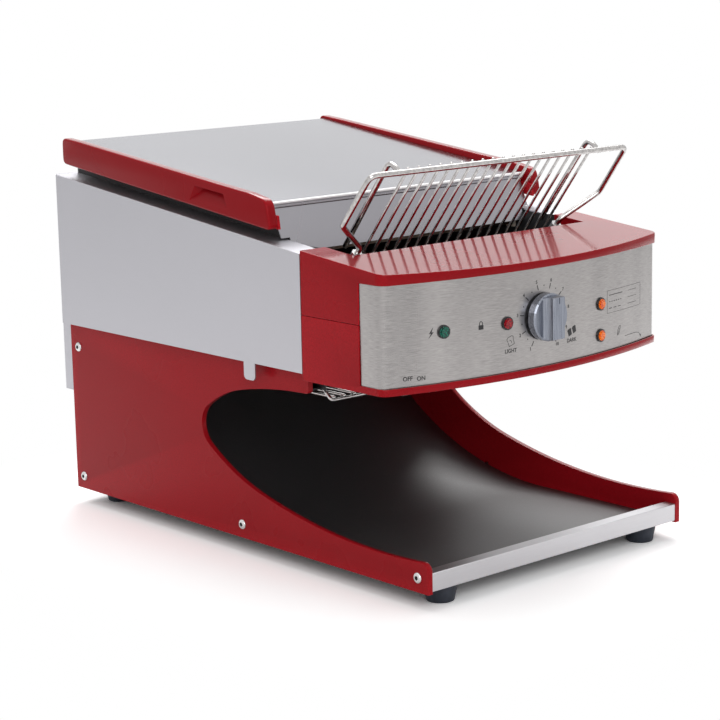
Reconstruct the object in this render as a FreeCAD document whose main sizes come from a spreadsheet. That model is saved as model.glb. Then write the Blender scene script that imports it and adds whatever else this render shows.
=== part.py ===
import FreeCAD, Part
import Sketcher
import math
import os
from FreeCAD import Placement, Rotation, Vector

# Conveyor toaster with a walking wire rack.
# Every piece is drawn from one datum, the lower front edge of the side panels:
# X to the right seen from the front, Y to the rear, Z up. The datum itself lies
# front_y behind the origin and one foot height above the floor.

doc = FreeCAD.newDocument("toaster")


class Dim:
    """A length together with the formula that gives it from the table of sizes."""

    def __init__(self, value, text):
        self.value = float(value)
        self.text = text

    def __add__(self, other):
        return joined(self, "+", other)

    def __radd__(self, other):
        return joined(other, "+", self)

    def __sub__(self, other):
        return joined(self, "-", other)

    def __rsub__(self, other):
        return joined(other, "-", self)

    def __mul__(self, other):
        return joined(self, "*", other)

    def __rmul__(self, other):
        return joined(other, "*", self)

    def __truediv__(self, other):
        return joined(self, "/", other)

    def __neg__(self):
        return joined(0, "-", self)


def dim(number):
    if isinstance(number, Dim):
        return number
    return Dim(number, "(%r)" % float(number))


def joined(left, sign, right):
    left = dim(left)
    right = dim(right)
    if sign == "+":
        value = left.value + right.value
    elif sign == "-":
        value = left.value - right.value
    elif sign == "*":
        value = left.value * right.value
    else:
        value = left.value / right.value
    return Dim(value, "(%s %s %s)" % (left.text, sign, right.text))


def root(number):
    return Dim(math.sqrt(number.value), "sqrt(%s)" % number.text)


class Sizes:
    """The table of driving sizes. Each one becomes a cell with an alias, and a Dim here."""

    def __init__(self):
        self.table = doc.addObject("Spreadsheet::Sheet", "sizes")
        self.used = 0

    def add(self, **named):
        for name, value in named.items():
            self.used += 1
            cell = "B%d" % self.used
            self.table.set("A%d" % self.used, name.replace("_", " "))
            self.table.set(cell, str(value))
            self.table.setAlias(cell, name)
            setattr(self, name, Dim(value, "sizes." + name))
        self.table.recompute()


S = Sizes()
S.add(front_y=-309.28, foot_height=17.5)

subparts = []
cuts = []


def bind(thing, prop, number):
    number = dim(number)
    setattr(thing, prop, number.value)
    thing.setExpression(prop, number.text)


def place(thing, x=0, y=0, z=0, turn=None):
    """Puts a piece at a point given from the datum."""
    at = (dim(x), S.front_y + y, S.foot_height + z)
    thing.Placement = Placement(Vector(*[c.value for c in at]), turn or Rotation())
    for axis, c in zip("xyz", at):
        thing.setExpression(".Placement.Base." + axis, c.text)
    return thing


def keep(thing, name):
    """Names a finished piece and puts it on the list of sub-parts."""
    thing.Label = name
    subparts.append(thing)
    return thing


def new_body(name, x=0, y=0, z=0, turn=None):
    body = doc.addObject("PartDesign::Body", "body_" + name)
    body.AllowCompound = True
    place(body, x, y, z, turn)
    return keep(body, name)


def sketch(body, plane, at=0):
    """A sketch on one of the body's own planes, moved along that plane's axis."""
    sk = body.newObject("Sketcher::SketchObject", "sketch")
    face = [f for f in body.Origin.OriginFeatures if f.Role == plane + "_Plane"][0]
    sk.AttachmentSupport = [(face, "")]
    sk.MapMode = "FlatFace"
    shift = -dim(at) if plane == "XZ" else dim(at)
    sk.AttachmentOffset = Placement(Vector(0, 0, shift.value), Rotation())
    sk.setExpression(".AttachmentOffset.Base.z", shift.text)
    return sk


def hold(sk, number, point, u, v):
    """Ties one point of a sketch to its two coordinates."""
    for kind, axis, c in (("DistanceX", -2, dim(u)), ("DistanceY", -1, dim(v))):
        if abs(c.value) < 1e-9:
            sk.addConstraint(Sketcher.Constraint("PointOnObject", number, point, axis))
            continue
        index = sk.addConstraint(Sketcher.Constraint(kind, -1, 1, number, point, c.value))
        name = "%s_%d" % (kind.lower(), index)
        sk.renameConstraint(index, name)
        sk.setExpression("Constraints." + name, c.text)


def hold_radius(sk, number, radius):
    index = sk.addConstraint(Sketcher.Constraint("Radius", number, radius.value))
    name = "radius_%d" % index
    sk.renameConstraint(index, name)
    sk.setExpression("Constraints." + name, radius.text)


def path(sk, points, closed=True):
    """Draws an outline. A point (u, v) starts a straight run to the next point, and
    (u, v, radius) an arc to it, which turns left for a positive radius."""
    first = sk.GeometryCount
    count = len(points) if closed else len(points) - 1
    starts = []
    ends = []
    for i in range(count):
        here = points[i]
        there = points[(i + 1) % len(points)]
        p = Vector(dim(here[0]).value, dim(here[1]).value, 0)
        q = Vector(dim(there[0]).value, dim(there[1]).value, 0)
        if len(here) == 2:
            sk.addGeometry(Part.LineSegment(p, q), False)
            starts.append(1)
            ends.append(2)
            continue
        turn = dim(here[2]).value
        half = (q - p).Length / 2
        left = Vector(p.y - q.y, q.x - p.x, 0).normalize()
        rise = math.sqrt(max(turn * turn - half * half, 0))
        centre = (p + q) * 0.5 + left * math.copysign(rise, turn)
        circle = Part.Circle(centre, Vector(0, 0, 1), abs(turn))
        angle_p = math.atan2(p.y - centre.y, p.x - centre.x)
        angle_q = math.atan2(q.y - centre.y, q.x - centre.x)
        if turn > 0:
            sk.addGeometry(Part.ArcOfCircle(circle, angle_p, angle_q), False)
            starts.append(1)
            ends.append(2)
        else:
            sk.addGeometry(Part.ArcOfCircle(circle, angle_q, angle_p), False)
            starts.append(2)
            ends.append(1)
    for i in range(count if closed else count - 1):
        j = (i + 1) % count
        joint = Sketcher.Constraint("Coincident", first + i, ends[i], first + j, starts[j])
        sk.addConstraint(joint)
    for i in range(count):
        hold(sk, first + i, starts[i], points[i][0], points[i][1])
        if len(points[i]) == 3:
            radius = dim(points[i][2])
            hold_radius(sk, first + i, radius if radius.value > 0 else -radius)
    if not closed:
        hold(sk, first + count - 1, ends[-1], points[-1][0], points[-1][1])


def box_path(sk, u0, v0, u1, v1):
    path(sk, [(u0, v0), (u1, v0), (u1, v1), (u0, v1)])


def flats(sk, u, v, radius, sides=8):
    """Flats laid around a circle, one of them on top: plain holes, pins and wires."""
    reach = dim(radius) / math.cos(math.pi / sides)
    points = []
    for k in range(sides):
        angle = math.pi / 2 + math.pi / sides + 2 * math.pi * k / sides
        points.append((u + reach * math.cos(angle), v + reach * math.sin(angle)))
    path(sk, points)


def wire_flats(sk, u, v, radius):
    """The section of a wire: eight flats inside its round."""
    flats(sk, u, v, dim(radius) * math.cos(math.pi / 8))


def turned(sk, v):
    """A level construction line that a profile is turned about."""
    v = dim(v)
    line = Part.LineSegment(Vector(-20, v.value, 0), Vector(30, v.value, 0))
    number = sk.addGeometry(line, True)
    hold(sk, number, 1, -20, v)
    hold(sk, number, 2, 30, v)
    return "Axis0"


def pad(body, sk, length, both=False):
    f = body.newObject("PartDesign::Pad", "pad")
    f.Profile = sk
    length = dim(length)
    if length.value < 0:
        f.Reversed = True
        length = -length
    bind(f, "Length", length)
    f.Midplane = both
    sk.Visibility = False
    return f


def pocket(body, sk, length=None, both=False):
    """Cuts along the plane's axis for a positive length, against it for a negative one."""
    f = body.newObject("PartDesign::Pocket", "pocket")
    f.Profile = sk
    if length is None:
        f.Type = "ThroughAll"
        f.Midplane = True
    else:
        length = dim(length)
        if length.value > 0:
            f.Reversed = True
        else:
            length = -length
        bind(f, "Length", length)
        f.Midplane = both
    cuts.append(f)
    return f


def spin(body, sk, axis, name="revolution"):
    f = body.newObject("PartDesign::Revolution", name)
    f.Profile = sk
    f.ReferenceAxis = (sk, [axis])
    f.Angle = 360
    return f


def edges_of(feature, wanted):
    doc.recompute()
    return ["Edge%d" % (i + 1) for i, e in enumerate(feature.Shape.Edges) if wanted(e)]


def faces_of(feature, wanted):
    doc.recompute()
    return ["Face%d" % (i + 1) for i, f in enumerate(feature.Shape.Faces) if wanted(f)]


def rounded(body, feature, radius, wanted):
    names = edges_of(feature, wanted)
    f = body.newObject("PartDesign::Fillet", "fillet")
    f.Base = (feature, names)
    bind(f, "Radius", radius)
    return f


def bevelled(body, feature, size, wanted):
    names = edges_of(feature, wanted)
    f = body.newObject("PartDesign::Chamfer", "chamfer")
    f.Base = (feature, names)
    bind(f, "Size", size)
    return f


def hollowed(body, feature, wall, open_faces):
    f = body.newObject("PartDesign::Thickness", "thickness")
    f.Base = (feature, open_faces)
    bind(f, "Value", wall)
    f.Reversed = True
    f.Mode = 0
    f.Join = 0
    return f


def repeated(body, feature, axis, step, count):
    """A row of copies of a feature along one of the body's axes."""
    f = body.newObject("PartDesign::LinearPattern", "row")
    f.Originals = [feature]
    line = [o for o in body.Origin.OriginFeatures if o.Role == axis + "_Axis"][0]
    f.Direction = (line, [""])
    f.Occurrences = count
    bind(f, "Length", dim(step) * (count - 1))
    body.Tip = f
    return f


def mirrored(body, features, plane="YZ"):
    f = body.newObject("PartDesign::Mirrored", "mirror")
    f.Originals = features
    face = [o for o in body.Origin.OriginFeatures if o.Role == plane + "_Plane"][0]
    f.MirrorPlane = (face, [""])
    body.Tip = f
    return f


def rod(x0, y0, z0, length, radius, axis=Vector(1, 0, 0), sides=12):
    """A bar that starts at a point and runs along an axis, with flats inside its round."""
    bar = doc.addObject("Part::Prism", "rod")
    bar.Polygon = sides
    bind(bar, "Circumradius", radius)
    bind(bar, "Height", length)
    return place(bar, x0, y0, z0, Rotation(Vector(0, 0, 1), axis))


def drill(x0, y0, z0, length, radius, axis=Vector(1, 0, 0), sides=12):
    """The tool for a bore in which a bar of that radius can turn: flats around its round."""
    return rod(x0, y0, z0, length, dim(radius) / math.cos(math.pi / sides), axis, sides)


def block(x0, y0, z0, length, width, height):
    piece = doc.addObject("Part::Box", "block")
    bind(piece, "Length", length)
    bind(piece, "Width", width)
    bind(piece, "Height", height)
    return place(piece, x0, y0, z0)


def fused(name, pieces):
    whole = doc.addObject("Part::MultiFuse", name)
    whole.Shapes = pieces
    return whole


def cut(name, base, tool):
    whole = doc.addObject("Part::Cut", name)
    whole.Base = base
    whole.Tool = tool
    return whole


def grouped(name, pieces):
    """Loose pieces of one kind, kept together in one node."""
    whole = doc.addObject("Part::Compound", name)
    whole.Links = pieces
    return keep(whole, name)


SIDES = (("left", -1), ("right", 1))

# Side panels: red sheet-metal boxes 6 mm thick. The oval cut-out is a chain of arcs
# that ends in the upper limb, whose round nose stops behind the control head.
S.add(panel_half=188.3, panel_thick=6.0, panel_length=606.8, panel_top=203.0)
S.add(nose_radius=9.0, limb_front=175.0, limb_low=175.4, limb_radius=4.0)
S.add(low_y=65.6, low_z=29.3, low_radius=750.5, mid_y=262.5, mid_z=55.6, mid_radius=271.4)
S.add(heel_low_y=346.3, heel_low_z=94.7, heel_radius=26.4, heel_high_y=346.5)
S.add(heel_high_z=138.0, roof_radius=159.4, roof_y=286.4, roof_z=163.9)
S.add(roof_front_radius=581.3, roof_front_y=206.3, roof_front_z=174.4)
S.add(screw_shank=3.0, screw_play=0.1, screw_front_y=14.9, screw_mid_y=291.4)
S.add(screw_rear_y=592.0, screw_low_z=15.0, screw_high_z=170.5)

low_centre_z = S.low_z + S.low_radius
nose_back = S.low_y - S.nose_radius
nose_z = low_centre_z - root(S.low_radius * S.low_radius - nose_back * nose_back)
panel_outline = [
    (0, 0),
    (S.panel_length, 0),
    (S.panel_length, S.panel_top),
    (S.limb_front, S.panel_top),
    (S.limb_front, S.limb_low + S.limb_radius, S.limb_radius),
    (S.limb_front + S.limb_radius, S.limb_low),
    (S.roof_front_y, S.roof_front_z, -S.roof_front_radius),
    (S.roof_y, S.roof_z, -S.roof_radius),
    (S.heel_high_y, S.heel_high_z, -S.heel_radius),
    (S.heel_low_y, S.heel_low_z, -S.mid_radius),
    (S.mid_y, S.mid_z, -S.low_radius),
    (S.nose_radius, nose_z, S.nose_radius),
    (0, nose_z - S.nose_radius),
]
screw_spots = [
    (S.screw_front_y, S.screw_low_z),
    (S.screw_mid_y, S.screw_low_z),
    (S.screw_rear_y, S.screw_low_z),
    (S.screw_rear_y, S.screw_high_z),
]
for side, sign in SIDES:
    body = new_body("side_panel_" + side)
    sk = sketch(body, "YZ", S.panel_half * sign)
    path(sk, panel_outline)
    for y, z in screw_spots:
        flats(sk, y, z, S.screw_shank + S.screw_play, 6)
    pad(body, sk, S.panel_thick * -sign)

# Button-head screws that hold the side panels, one loose solid each.
S.add(screw_head=5.4, screw_head_height=2.8)


def button_screw(x, y, z, axis, length, scale=1.0):
    """A plain head on a plain shank."""
    head = rod(x, y, z, S.screw_head_height * scale, S.screw_head * scale, axis)
    shank = rod(x, y, z, length, S.screw_shank * scale, axis * -1, 6)
    return fused("screw", [head, shank])


panel_screws = []
for side, sign in SIDES:
    for y, z in screw_spots:
        axis = Vector(sign, 0, 0)
        panel_screws.append(button_screw(S.panel_half * sign, y, z, axis, S.panel_thick))
grouped("panel_screws", panel_screws)

# Front bar: a solid steel bar across the front edge of the toast tray.
S.add(bar_front=0.7, bar_depth=14.5, bar_low=2.1, bar_top=21.1, bar_edge=1.0)
inner_half = S.panel_half - S.panel_thick
body = new_body("front_bar")
sk = sketch(body, "XZ", S.bar_front)
box_path(sk, -inner_half, S.bar_low, inner_half, S.bar_top)
bar = pad(body, sk, -S.bar_depth)
bar = rounded(body, bar, S.bar_edge, lambda e: e.BoundBox.XLength > 300 and e.CenterOfMass.z > 20)

# Toast tray: one black sheet that starts flat behind the bar and curls up at the rear.
S.add(tray_half=182.0, tray_top=4.5, sheet=1.2, tray_bend=200.0, tray_radius=370.0)
S.add(tray_end=511.0, chute_start=175.0, chute_slant=75.0, chute_top=296.0, chassis_half=170.0)
tray_front = S.bar_front + S.bar_depth
tray_centre = S.tray_top + S.tray_radius
tray_outer = S.tray_radius + S.sheet
run = S.tray_end - S.tray_bend
fall = root(S.tray_radius * S.tray_radius - run * run)
body = new_body("toast_tray")
sk = sketch(body, "YZ")
path(sk, [
    (tray_front, S.tray_top),
    (tray_front, S.tray_top - S.sheet),
    (S.tray_bend, S.tray_top - S.sheet, tray_outer),
    (S.tray_bend + run * tray_outer / S.tray_radius, tray_centre - fall * tray_outer / S.tray_radius),
    (S.tray_end, tray_centre - fall, -S.tray_radius),
    (S.tray_bend, S.tray_top),
])
pad(body, sk, S.tray_half * 2, both=True)

# Rear chute: the same curve carried on upwards inside the housing, with a rear flange.
S.add(wall_rear=600.0, slant_sine=0.965926, slant_cosine=0.258819)
fall = tray_centre - S.chute_start
run = root(S.tray_radius * S.tray_radius - fall * fall)
slant_y = S.tray_bend + S.tray_radius * S.slant_sine
slant_z = tray_centre - S.tray_radius * S.slant_cosine
back_y = S.tray_bend + tray_outer * S.slant_sine
back_z = tray_centre - tray_outer * S.slant_cosine
lean = S.slant_cosine / S.slant_sine
under = S.chute_top - S.sheet
body = new_body("rear_chute")
sk = sketch(body, "YZ")
path(sk, [
    (S.tray_bend + run, S.chute_start, -S.tray_radius * -1),
    (slant_y, slant_z),
    (slant_y + (S.chute_top - slant_z) * lean, S.chute_top),
    (S.wall_rear, S.chute_top),
    (S.wall_rear, under),
    (back_y + (under - back_z) * lean, under),
    (back_y, back_z, -tray_outer),
    (S.tray_bend + run * tray_outer / S.tray_radius, tray_centre - fall * tray_outer / S.tray_radius),
])
pad(body, sk, S.chassis_half * 2, both=True)

# Floor pan between the side panels, turned up at the rear to meet the rear cover.
S.add(pan_low=1.8, pan_sheet=1.5, pan_rear=604.0, pan_lip=115.0, pan_front=15.5)
S.add(foot_x=150.0, foot_front_y=23.5, foot_rear_y=575.0, foot_low=14.5, foot_wide=17.8)
FOOT_SIDES = 20
pan_top = S.pan_low + S.pan_sheet
body = new_body("floor_pan")
sk = sketch(body, "YZ")
path(sk, [
    (S.pan_front, S.pan_low),
    (S.pan_rear, S.pan_low),
    (S.pan_rear, S.pan_lip),
    (S.pan_rear - S.pan_sheet, S.pan_lip),
    (S.pan_rear - S.pan_sheet, pan_top),
    (S.pan_front, pan_top),
])
pad(body, sk, inner_half * 2, both=True)

# Four tapered rubber feet under the floor pan.
foot_spots = [(x, y) for x in (-S.foot_x, S.foot_x) for y in (S.foot_front_y, S.foot_rear_y)]
feet = []
for x, y in foot_spots:
    sections = []
    for z, radius in ((-S.foot_height, S.foot_low), (S.pan_low, S.foot_wide)):
        section = doc.addObject("Part::RegularPolygon", "foot_section")
        section.Polygon = FOOT_SIDES
        bind(section, "Circumradius", radius)
        sections.append(place(section, x, y, z))
    foot = doc.addObject("Part::Loft", "foot")
    foot.Sections = sections
    foot.Solid = True
    foot.Ruled = True
    feet.append(foot)
grouped("feet", feet)

# Chassis sides: black plates that carry the shafts, the heating rods and the lid pins.
# The front part is set higher so that it passes between the walls of the control head.
S.add(chassis_sheet=2.0, chassis_front=128.0, step_y=168.5, step_z=195.3, chassis_low=178.0)
S.add(step_top=316.0, cheek_top=325.0, shield_low_y=220.7, shield_low_z=331.0)
S.add(shield_top_y=233.6, shield_top_z=361.5, shield_foot_y=214.5, shield_foot_z=316.5)
S.add(roof_line_front=358.0, roof_line_rear=403.8, roof_line_end=584.0, pin_y=578.0, pin_z=394.0)
S.add(flange_sheet=2.0, flange_front=176.0, bush_radius=8.0, shaft_y=205.0, shaft_z=222.0)
S.add(shaft_step=220.0, rod_hole=6.0, low_rods_y=250.0, low_rods_step=35.0, low_rods_z=241.0)
S.add(high_rods_y=235.0, high_rods_step=32.0, high_rods_z=313.0, pin_radius=3.0)
S.add(motor_y=150.0, motor_hole=6.0)
LOW_RODS = 5
HIGH_RODS = 6
chassis_outer = S.chassis_half + S.chassis_sheet
rear_shaft_y = S.shaft_y + S.shaft_step
low_rods = [S.low_rods_y + S.low_rods_step * k for k in range(LOW_RODS)]
high_rods = [S.high_rods_y + S.high_rods_step * k for k in range(HIGH_RODS)]
S.add(tie_front=235.5, tie_front_z=346.5, tie_rear=590.0, tie_low_z=192.0, tie_high_z=340.0)
tie_spots = [(S.tie_front, S.tie_front_z), (S.tie_rear, S.tie_low_z), (S.tie_rear, S.tie_high_z)]
chassis_outline = [
    (S.chassis_front, S.step_z),
    (S.step_y, S.step_z),
    (S.step_y, S.chassis_low),
    (S.wall_rear, S.chassis_low),
    (S.wall_rear, S.pin_z - 9),
    (S.pin_y + 13, S.pin_z - 9),
    (S.pin_y + 13, S.pin_z),
    (S.roof_line_end, S.roof_line_rear),
    (S.shield_top_y + 1.6, S.roof_line_front),
    (S.shield_low_y + 1.6, S.shield_low_z),
    (S.shield_low_y + 1.6, S.cheek_top),
    (S.step_y, S.cheek_top),
    (S.step_y, S.step_top),
    (S.chassis_front, S.step_top),
]
for side, sign in SIDES:
    body = new_body("chassis_side_" + side)
    sk = sketch(body, "YZ", S.chassis_half * sign)
    path(sk, chassis_outline)
    for y in (S.shaft_y, rear_shaft_y):
        flats(sk, y, S.shaft_z, S.bush_radius, 12)
    flats(sk, S.pin_y, S.pin_z, S.pin_radius)
    if sign > 0:
        flats(sk, S.motor_y, S.shaft_z, S.motor_hole)
    pad(body, sk, S.chassis_sheet * sign)
    for first, z, step, count in (
        (S.low_rods_y, S.low_rods_z, S.low_rods_step, LOW_RODS),
        (S.high_rods_y, S.high_rods_z, S.high_rods_step, HIGH_RODS),
    ):
        sk = sketch(body, "YZ", S.chassis_half * sign)
        box_path(sk, first - S.rod_hole, z - S.rod_hole, first + S.rod_hole, z + S.rod_hole)
        hole = pocket(body, sk, S.chassis_sheet * sign)
        repeated(body, hole, "Y", step, count)
    sk = sketch(body, "YZ", chassis_outer * sign)
    box_path(sk, S.flange_front, S.chassis_low, S.wall_rear, S.chassis_low + S.flange_sheet)
    pad(body, sk, (inner_half - chassis_outer) * sign)

# Rear wall behind the chassis, wide above the side panels and narrow between them.
S.add(wall_sheet=1.5, cover_inner=200.9, wall_shoulder=371.0, wall_top=404.0, cable_x=120.0)
S.add(cable_hole=9.0, cable_hole_z=240.0)
wall_outline = [
    (-inner_half, S.chassis_low),
    (inner_half, S.chassis_low),
    (inner_half, S.panel_top),
    (S.cover_inner, S.panel_top),
    (S.cover_inner, S.wall_shoulder),
    (chassis_outer, S.wall_shoulder),
    (chassis_outer, S.wall_top),
    (-chassis_outer, S.wall_top),
    (-chassis_outer, S.wall_shoulder),
    (-S.cover_inner, S.wall_shoulder),
    (-S.cover_inner, S.panel_top),
    (-inner_half, S.panel_top),
]
body = new_body("rear_wall")
sk = sketch(body, "XZ", S.wall_rear)
path(sk, wall_outline)
flats(sk, S.cable_x, S.cable_hole_z, S.cable_hole)
pad(body, sk, -S.wall_sheet)

# Side covers: brushed sheets over the drive, with a roof flange and one locating tab.
S.add(cover_sheet=1.5, cover_front=167.3, cover_rear=601.7, cover_low=200.0)
S.add(cover_top_front=322.7, cover_top_rear=372.9, tab_front=244.2, tab_rear=262.7)
S.add(tab_low=181.4, tab_radius=5.0)
for side, sign in SIDES:
    body = new_body("side_cover_" + side)
    sk = sketch(body, "YZ", S.cover_inner * sign)
    path(sk, [
        (S.cover_front, S.cover_low),
        (S.tab_front, S.cover_low),
        (S.tab_front, S.tab_low + S.tab_radius, S.tab_radius),
        (S.tab_front + S.tab_radius, S.tab_low),
        (S.tab_rear - S.tab_radius, S.tab_low, S.tab_radius),
        (S.tab_rear, S.tab_low + S.tab_radius),
        (S.tab_rear, S.cover_low),
        (S.cover_rear, S.cover_low),
        (S.cover_rear, S.cover_top_rear),
        (S.cover_front, S.cover_top_front),
    ])
    pad(body, sk, S.cover_sheet * sign)
    sk = sketch(body, "YZ", S.cover_inner * sign)
    path(sk, [
        (S.cover_front, S.cover_top_front - S.cover_sheet),
        (S.cover_rear, S.cover_top_rear - S.cover_sheet),
        (S.cover_rear, S.cover_top_rear),
        (S.cover_front, S.cover_top_front),
    ])
    pad(body, sk, (S.cover_inner - chassis_outer) * -sign)
    sk = sketch(body, "YZ", S.cover_inner * sign)
    box_path(sk, S.cover_front, S.cover_low, S.cover_rear, S.cover_low + S.sheet)
    flange = pad(body, sk, (S.cover_inner - S.panel_half) * -sign)
    rounded(body, flange, 1.2, lambda e: e.BoundBox.YLength > 400 and e.CenterOfMass.z > 330
            and abs(abs(e.CenterOfMass.x) - S.cover_inner.value - S.cover_sheet.value) < 0.1)

# Rear cover: a flat pan with rows of slots. Its lower edge carries the cable gland.
S.add(box_rear=622.0, box_low=117.0, box_top=371.0, slot_half=74.0, slot_height=5.0)
S.add(slot_first=230.0, slot_step=13.0, slot_shift=86.0)
SLOT_ROWS = 9
wall_back = S.wall_rear + S.wall_sheet
body = new_body("rear_cover")
sk = sketch(body, "XZ", wall_back)
box_path(sk, -S.panel_half, S.box_low, S.panel_half, S.box_top)
pan = pad(body, sk, -(S.box_rear - wall_back))
front_y = wall_back.value
pan = hollowed(body, pan, S.cover_sheet, faces_of(pan, lambda f: f.CenterOfMass.y < front_y + 0.1))
sk = sketch(body, "YZ")
box_path(sk, wall_back - 1, S.box_low - 1, S.panel_length, S.panel_top)
pocket(body, sk)
sk = sketch(body, "XZ", S.box_rear)
for shift in (-S.slot_shift, S.slot_shift):
    box_path(sk, shift - S.slot_half, S.slot_first, shift + S.slot_half, S.slot_first + S.slot_height)
slots = pocket(body, sk, S.cover_sheet * 2)
repeated(body, slots, "Z", S.slot_step, SLOT_ROWS)
cover_screw_spots = [
    (x, z)
    for x in (12 - S.panel_half, S.panel_half - 12)
    for z in (S.panel_top + 15, S.box_top - 15)
]
sk = sketch(body, "XZ", S.box_rear)
for x, z in cover_screw_spots:
    flats(sk, x, z, S.screw_shank * 0.7 + 0.05, 6)
pocket(body, sk, S.cover_sheet * 2)
gland_y = (S.panel_length + S.box_rear) / 2
sk = sketch(body, "XY", S.box_low)
flats(sk, S.cable_x, gland_y, 5.05, 12)
pocket(body, sk, S.cover_sheet * 2, both=True)

# Cable gland at the rear, left empty: a threaded neck, a hexagonal flange and a dome nut.
S.add(gland_neck=5.0, neck_from=4.0, neck_length=13.0, gland_flange=7.0, flange_from=7.0)
S.add(gland_nut=6.3, nut_from=14.0, nut_length=7.5, gland_bore=3.5)
up = Vector(0, 0, 1)
gland = fused("gland_blank", [
    rod(S.cable_x, gland_y, S.box_low - S.neck_from, S.neck_length, S.gland_neck, up),
    rod(S.cable_x, gland_y, S.box_low - S.flange_from, S.flange_from, S.gland_flange, up, 6),
    rod(S.cable_x, gland_y, S.box_low - S.nut_from, S.nut_length, S.gland_nut, up),
])
through = drill(S.cable_x, gland_y, S.box_low - S.nut_from - 1, 25.0, S.gland_bore, up)
keep(cut("mains_gland", gland, through), "mains_gland")

# Screws of the rear cover.
cover_screws = []
for x, z in cover_screw_spots:
    cover_screws.append(button_screw(x, S.box_rear, z, Vector(0, 1, 0), S.cover_sheet, 0.7))
grouped("rear_cover_screws", cover_screws)

# Control head: two red shells, upper and lower, that share one U-shaped plan.
S.add(head_half=202.0, head_front=14.0, head_bow=653.0, head_corner=12.0, head_rear=167.3)
S.add(slot_half_width=168.0, slot_front=123.8, head_wall=2.0, head_low=193.0, seam=260.3)
S.add(head_top_rear=326.1, head_slope=0.1057, lip_y=79.8, lip_high=302.0, lip_low=200.2)
bow_centre = S.head_front + S.head_bow
corner_x = S.head_half - S.head_corner
corner_reach = S.head_bow - S.head_corner
corner_y = bow_centre - root(corner_reach * corner_reach - corner_x * corner_x)
tangent_x = corner_x * S.head_bow / corner_reach
tangent_y = bow_centre - (bow_centre - corner_y) * S.head_bow / corner_reach
head_plan = [
    (-S.head_half, S.head_rear),
    (-S.head_half, corner_y, S.head_corner),
    (-tangent_x, tangent_y, S.head_bow),
    (tangent_x, tangent_y, S.head_corner),
    (S.head_half, corner_y),
    (S.head_half, S.head_rear),
    (S.slot_half_width, S.head_rear),
    (S.slot_half_width, S.slot_front),
    (-S.slot_half_width, S.slot_front),
    (-S.slot_half_width, S.head_rear),
]


def near(value, number):
    return abs(value - dim(number).value) < 0.05


body = new_body("head_top")
sk = sketch(body, "XY", S.seam)
path(sk, head_plan)
pad(body, sk, S.head_top_rear - S.seam)
sk = sketch(body, "YZ")
path(sk, [
    (-5, S.head_top_rear - S.head_slope * (S.head_rear + 5)),
    (S.head_rear + 5, S.head_top_rear + S.head_slope * 5),
    (S.head_rear + 5, S.head_top_rear + 20),
    (-5, S.head_top_rear + 20),
])
wedge = pocket(body, sk)
open_faces = faces_of(wedge, lambda f: near(f.CenterOfMass.z, S.seam) or near(f.CenterOfMass.y, S.head_rear))
shell = hollowed(body, wedge, S.head_wall, open_faces)
sk = sketch(body, "YZ")
box_path(sk, 0, S.seam - 1, S.lip_y, S.lip_high)
pocket(body, sk)

body = new_body("head_bottom")
sk = sketch(body, "XY", S.head_low)
path(sk, head_plan)
block_low = pad(body, sk, S.seam - 0.3 - S.head_low)
open_faces = faces_of(block_low, lambda f: near(f.CenterOfMass.z, S.seam - 0.3)
                      or near(f.CenterOfMass.y, S.head_rear)
                      or (near(f.CenterOfMass.y, S.slot_front) and f.BoundBox.YLength < 0.1)
                      or (near(abs(f.CenterOfMass.x), S.slot_half_width) and f.BoundBox.XLength < 0.1))
shell = hollowed(body, block_low, S.head_wall, open_faces)
sk = sketch(body, "YZ")
box_path(sk, 0, S.lip_low, S.lip_y, S.seam + 1)
pocket(body, sk)
S.add(rocker_x=-166.0, rocker_y=55.5, rocker_z=196.0, button_x=150.0, button_y=50.0)
S.add(button_hole=7.2, rocker_cut=11.0)
sk = sketch(body, "XY", S.head_low)
box_path(sk, S.rocker_x - S.rocker_cut, S.rocker_y - S.rocker_cut,
         S.rocker_x + S.rocker_cut, S.rocker_y + S.rocker_cut)
flats(sk, S.button_x, S.button_y, S.button_hole, 12)
pocket(body, sk, S.head_wall * 4, both=True)

# Fascia: one brushed sheet bent to the same bow and set back under the two lips.
S.add(fascia_bow=650.0, fascia_corner=10.0, fascia_half=200.5, fascia_rear=79.3)
S.add(fascia_low=200.3, fascia_high=301.7)
face_x = S.fascia_half - S.fascia_corner
face_reach = S.fascia_bow - S.fascia_corner
face_y = bow_centre - root(face_reach * face_reach - face_x * face_x)


def bowed(inset):
    """Half of the bow line with its corner, set in by a wall thickness, from right to left."""
    bow = S.fascia_bow - inset
    x = face_x * bow / face_reach
    y = bow_centre - (bow_centre - face_y) * bow / face_reach
    return bow, x, y


outer_bow, outer_x, outer_y = bowed(0)
inner_bow, inner_x, inner_y = bowed(S.sheet)
lamps = [
    ("green", -134.0, 251.0),
    ("red", -57.0, 250.5),
    ("amber", 85.0, 251.7),
    ("amber", 85.0, 218.3),
]
S.add(knob_x=-7.0, knob_z=251.5, lamp_hole=5.9, knob_hole=5.4)
body = new_body("fascia")
sk = sketch(body, "XY", S.fascia_low)
path(sk, [
    (-S.fascia_half, S.fascia_rear),
    (-S.fascia_half, face_y, S.fascia_corner),
    (-outer_x, outer_y, outer_bow),
    (outer_x, outer_y, S.fascia_corner),
    (S.fascia_half, face_y),
    (S.fascia_half, S.fascia_rear),
    (S.fascia_half - S.sheet, S.fascia_rear),
    (S.fascia_half - S.sheet, face_y, -(S.fascia_corner - S.sheet)),
    (inner_x, inner_y, -inner_bow),
    (-inner_x, inner_y, -(S.fascia_corner - S.sheet)),
    (S.sheet - S.fascia_half, face_y),
    (S.sheet - S.fascia_half, S.fascia_rear),
])
pad(body, sk, S.fascia_high - S.fascia_low)
sk = sketch(body, "XZ", 70)
for colour, x, z in lamps:
    flats(sk, x, z, S.lamp_hole)
flats(sk, S.knob_x, S.knob_z, S.knob_hole)
pocket(body, sk, 80)

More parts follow.
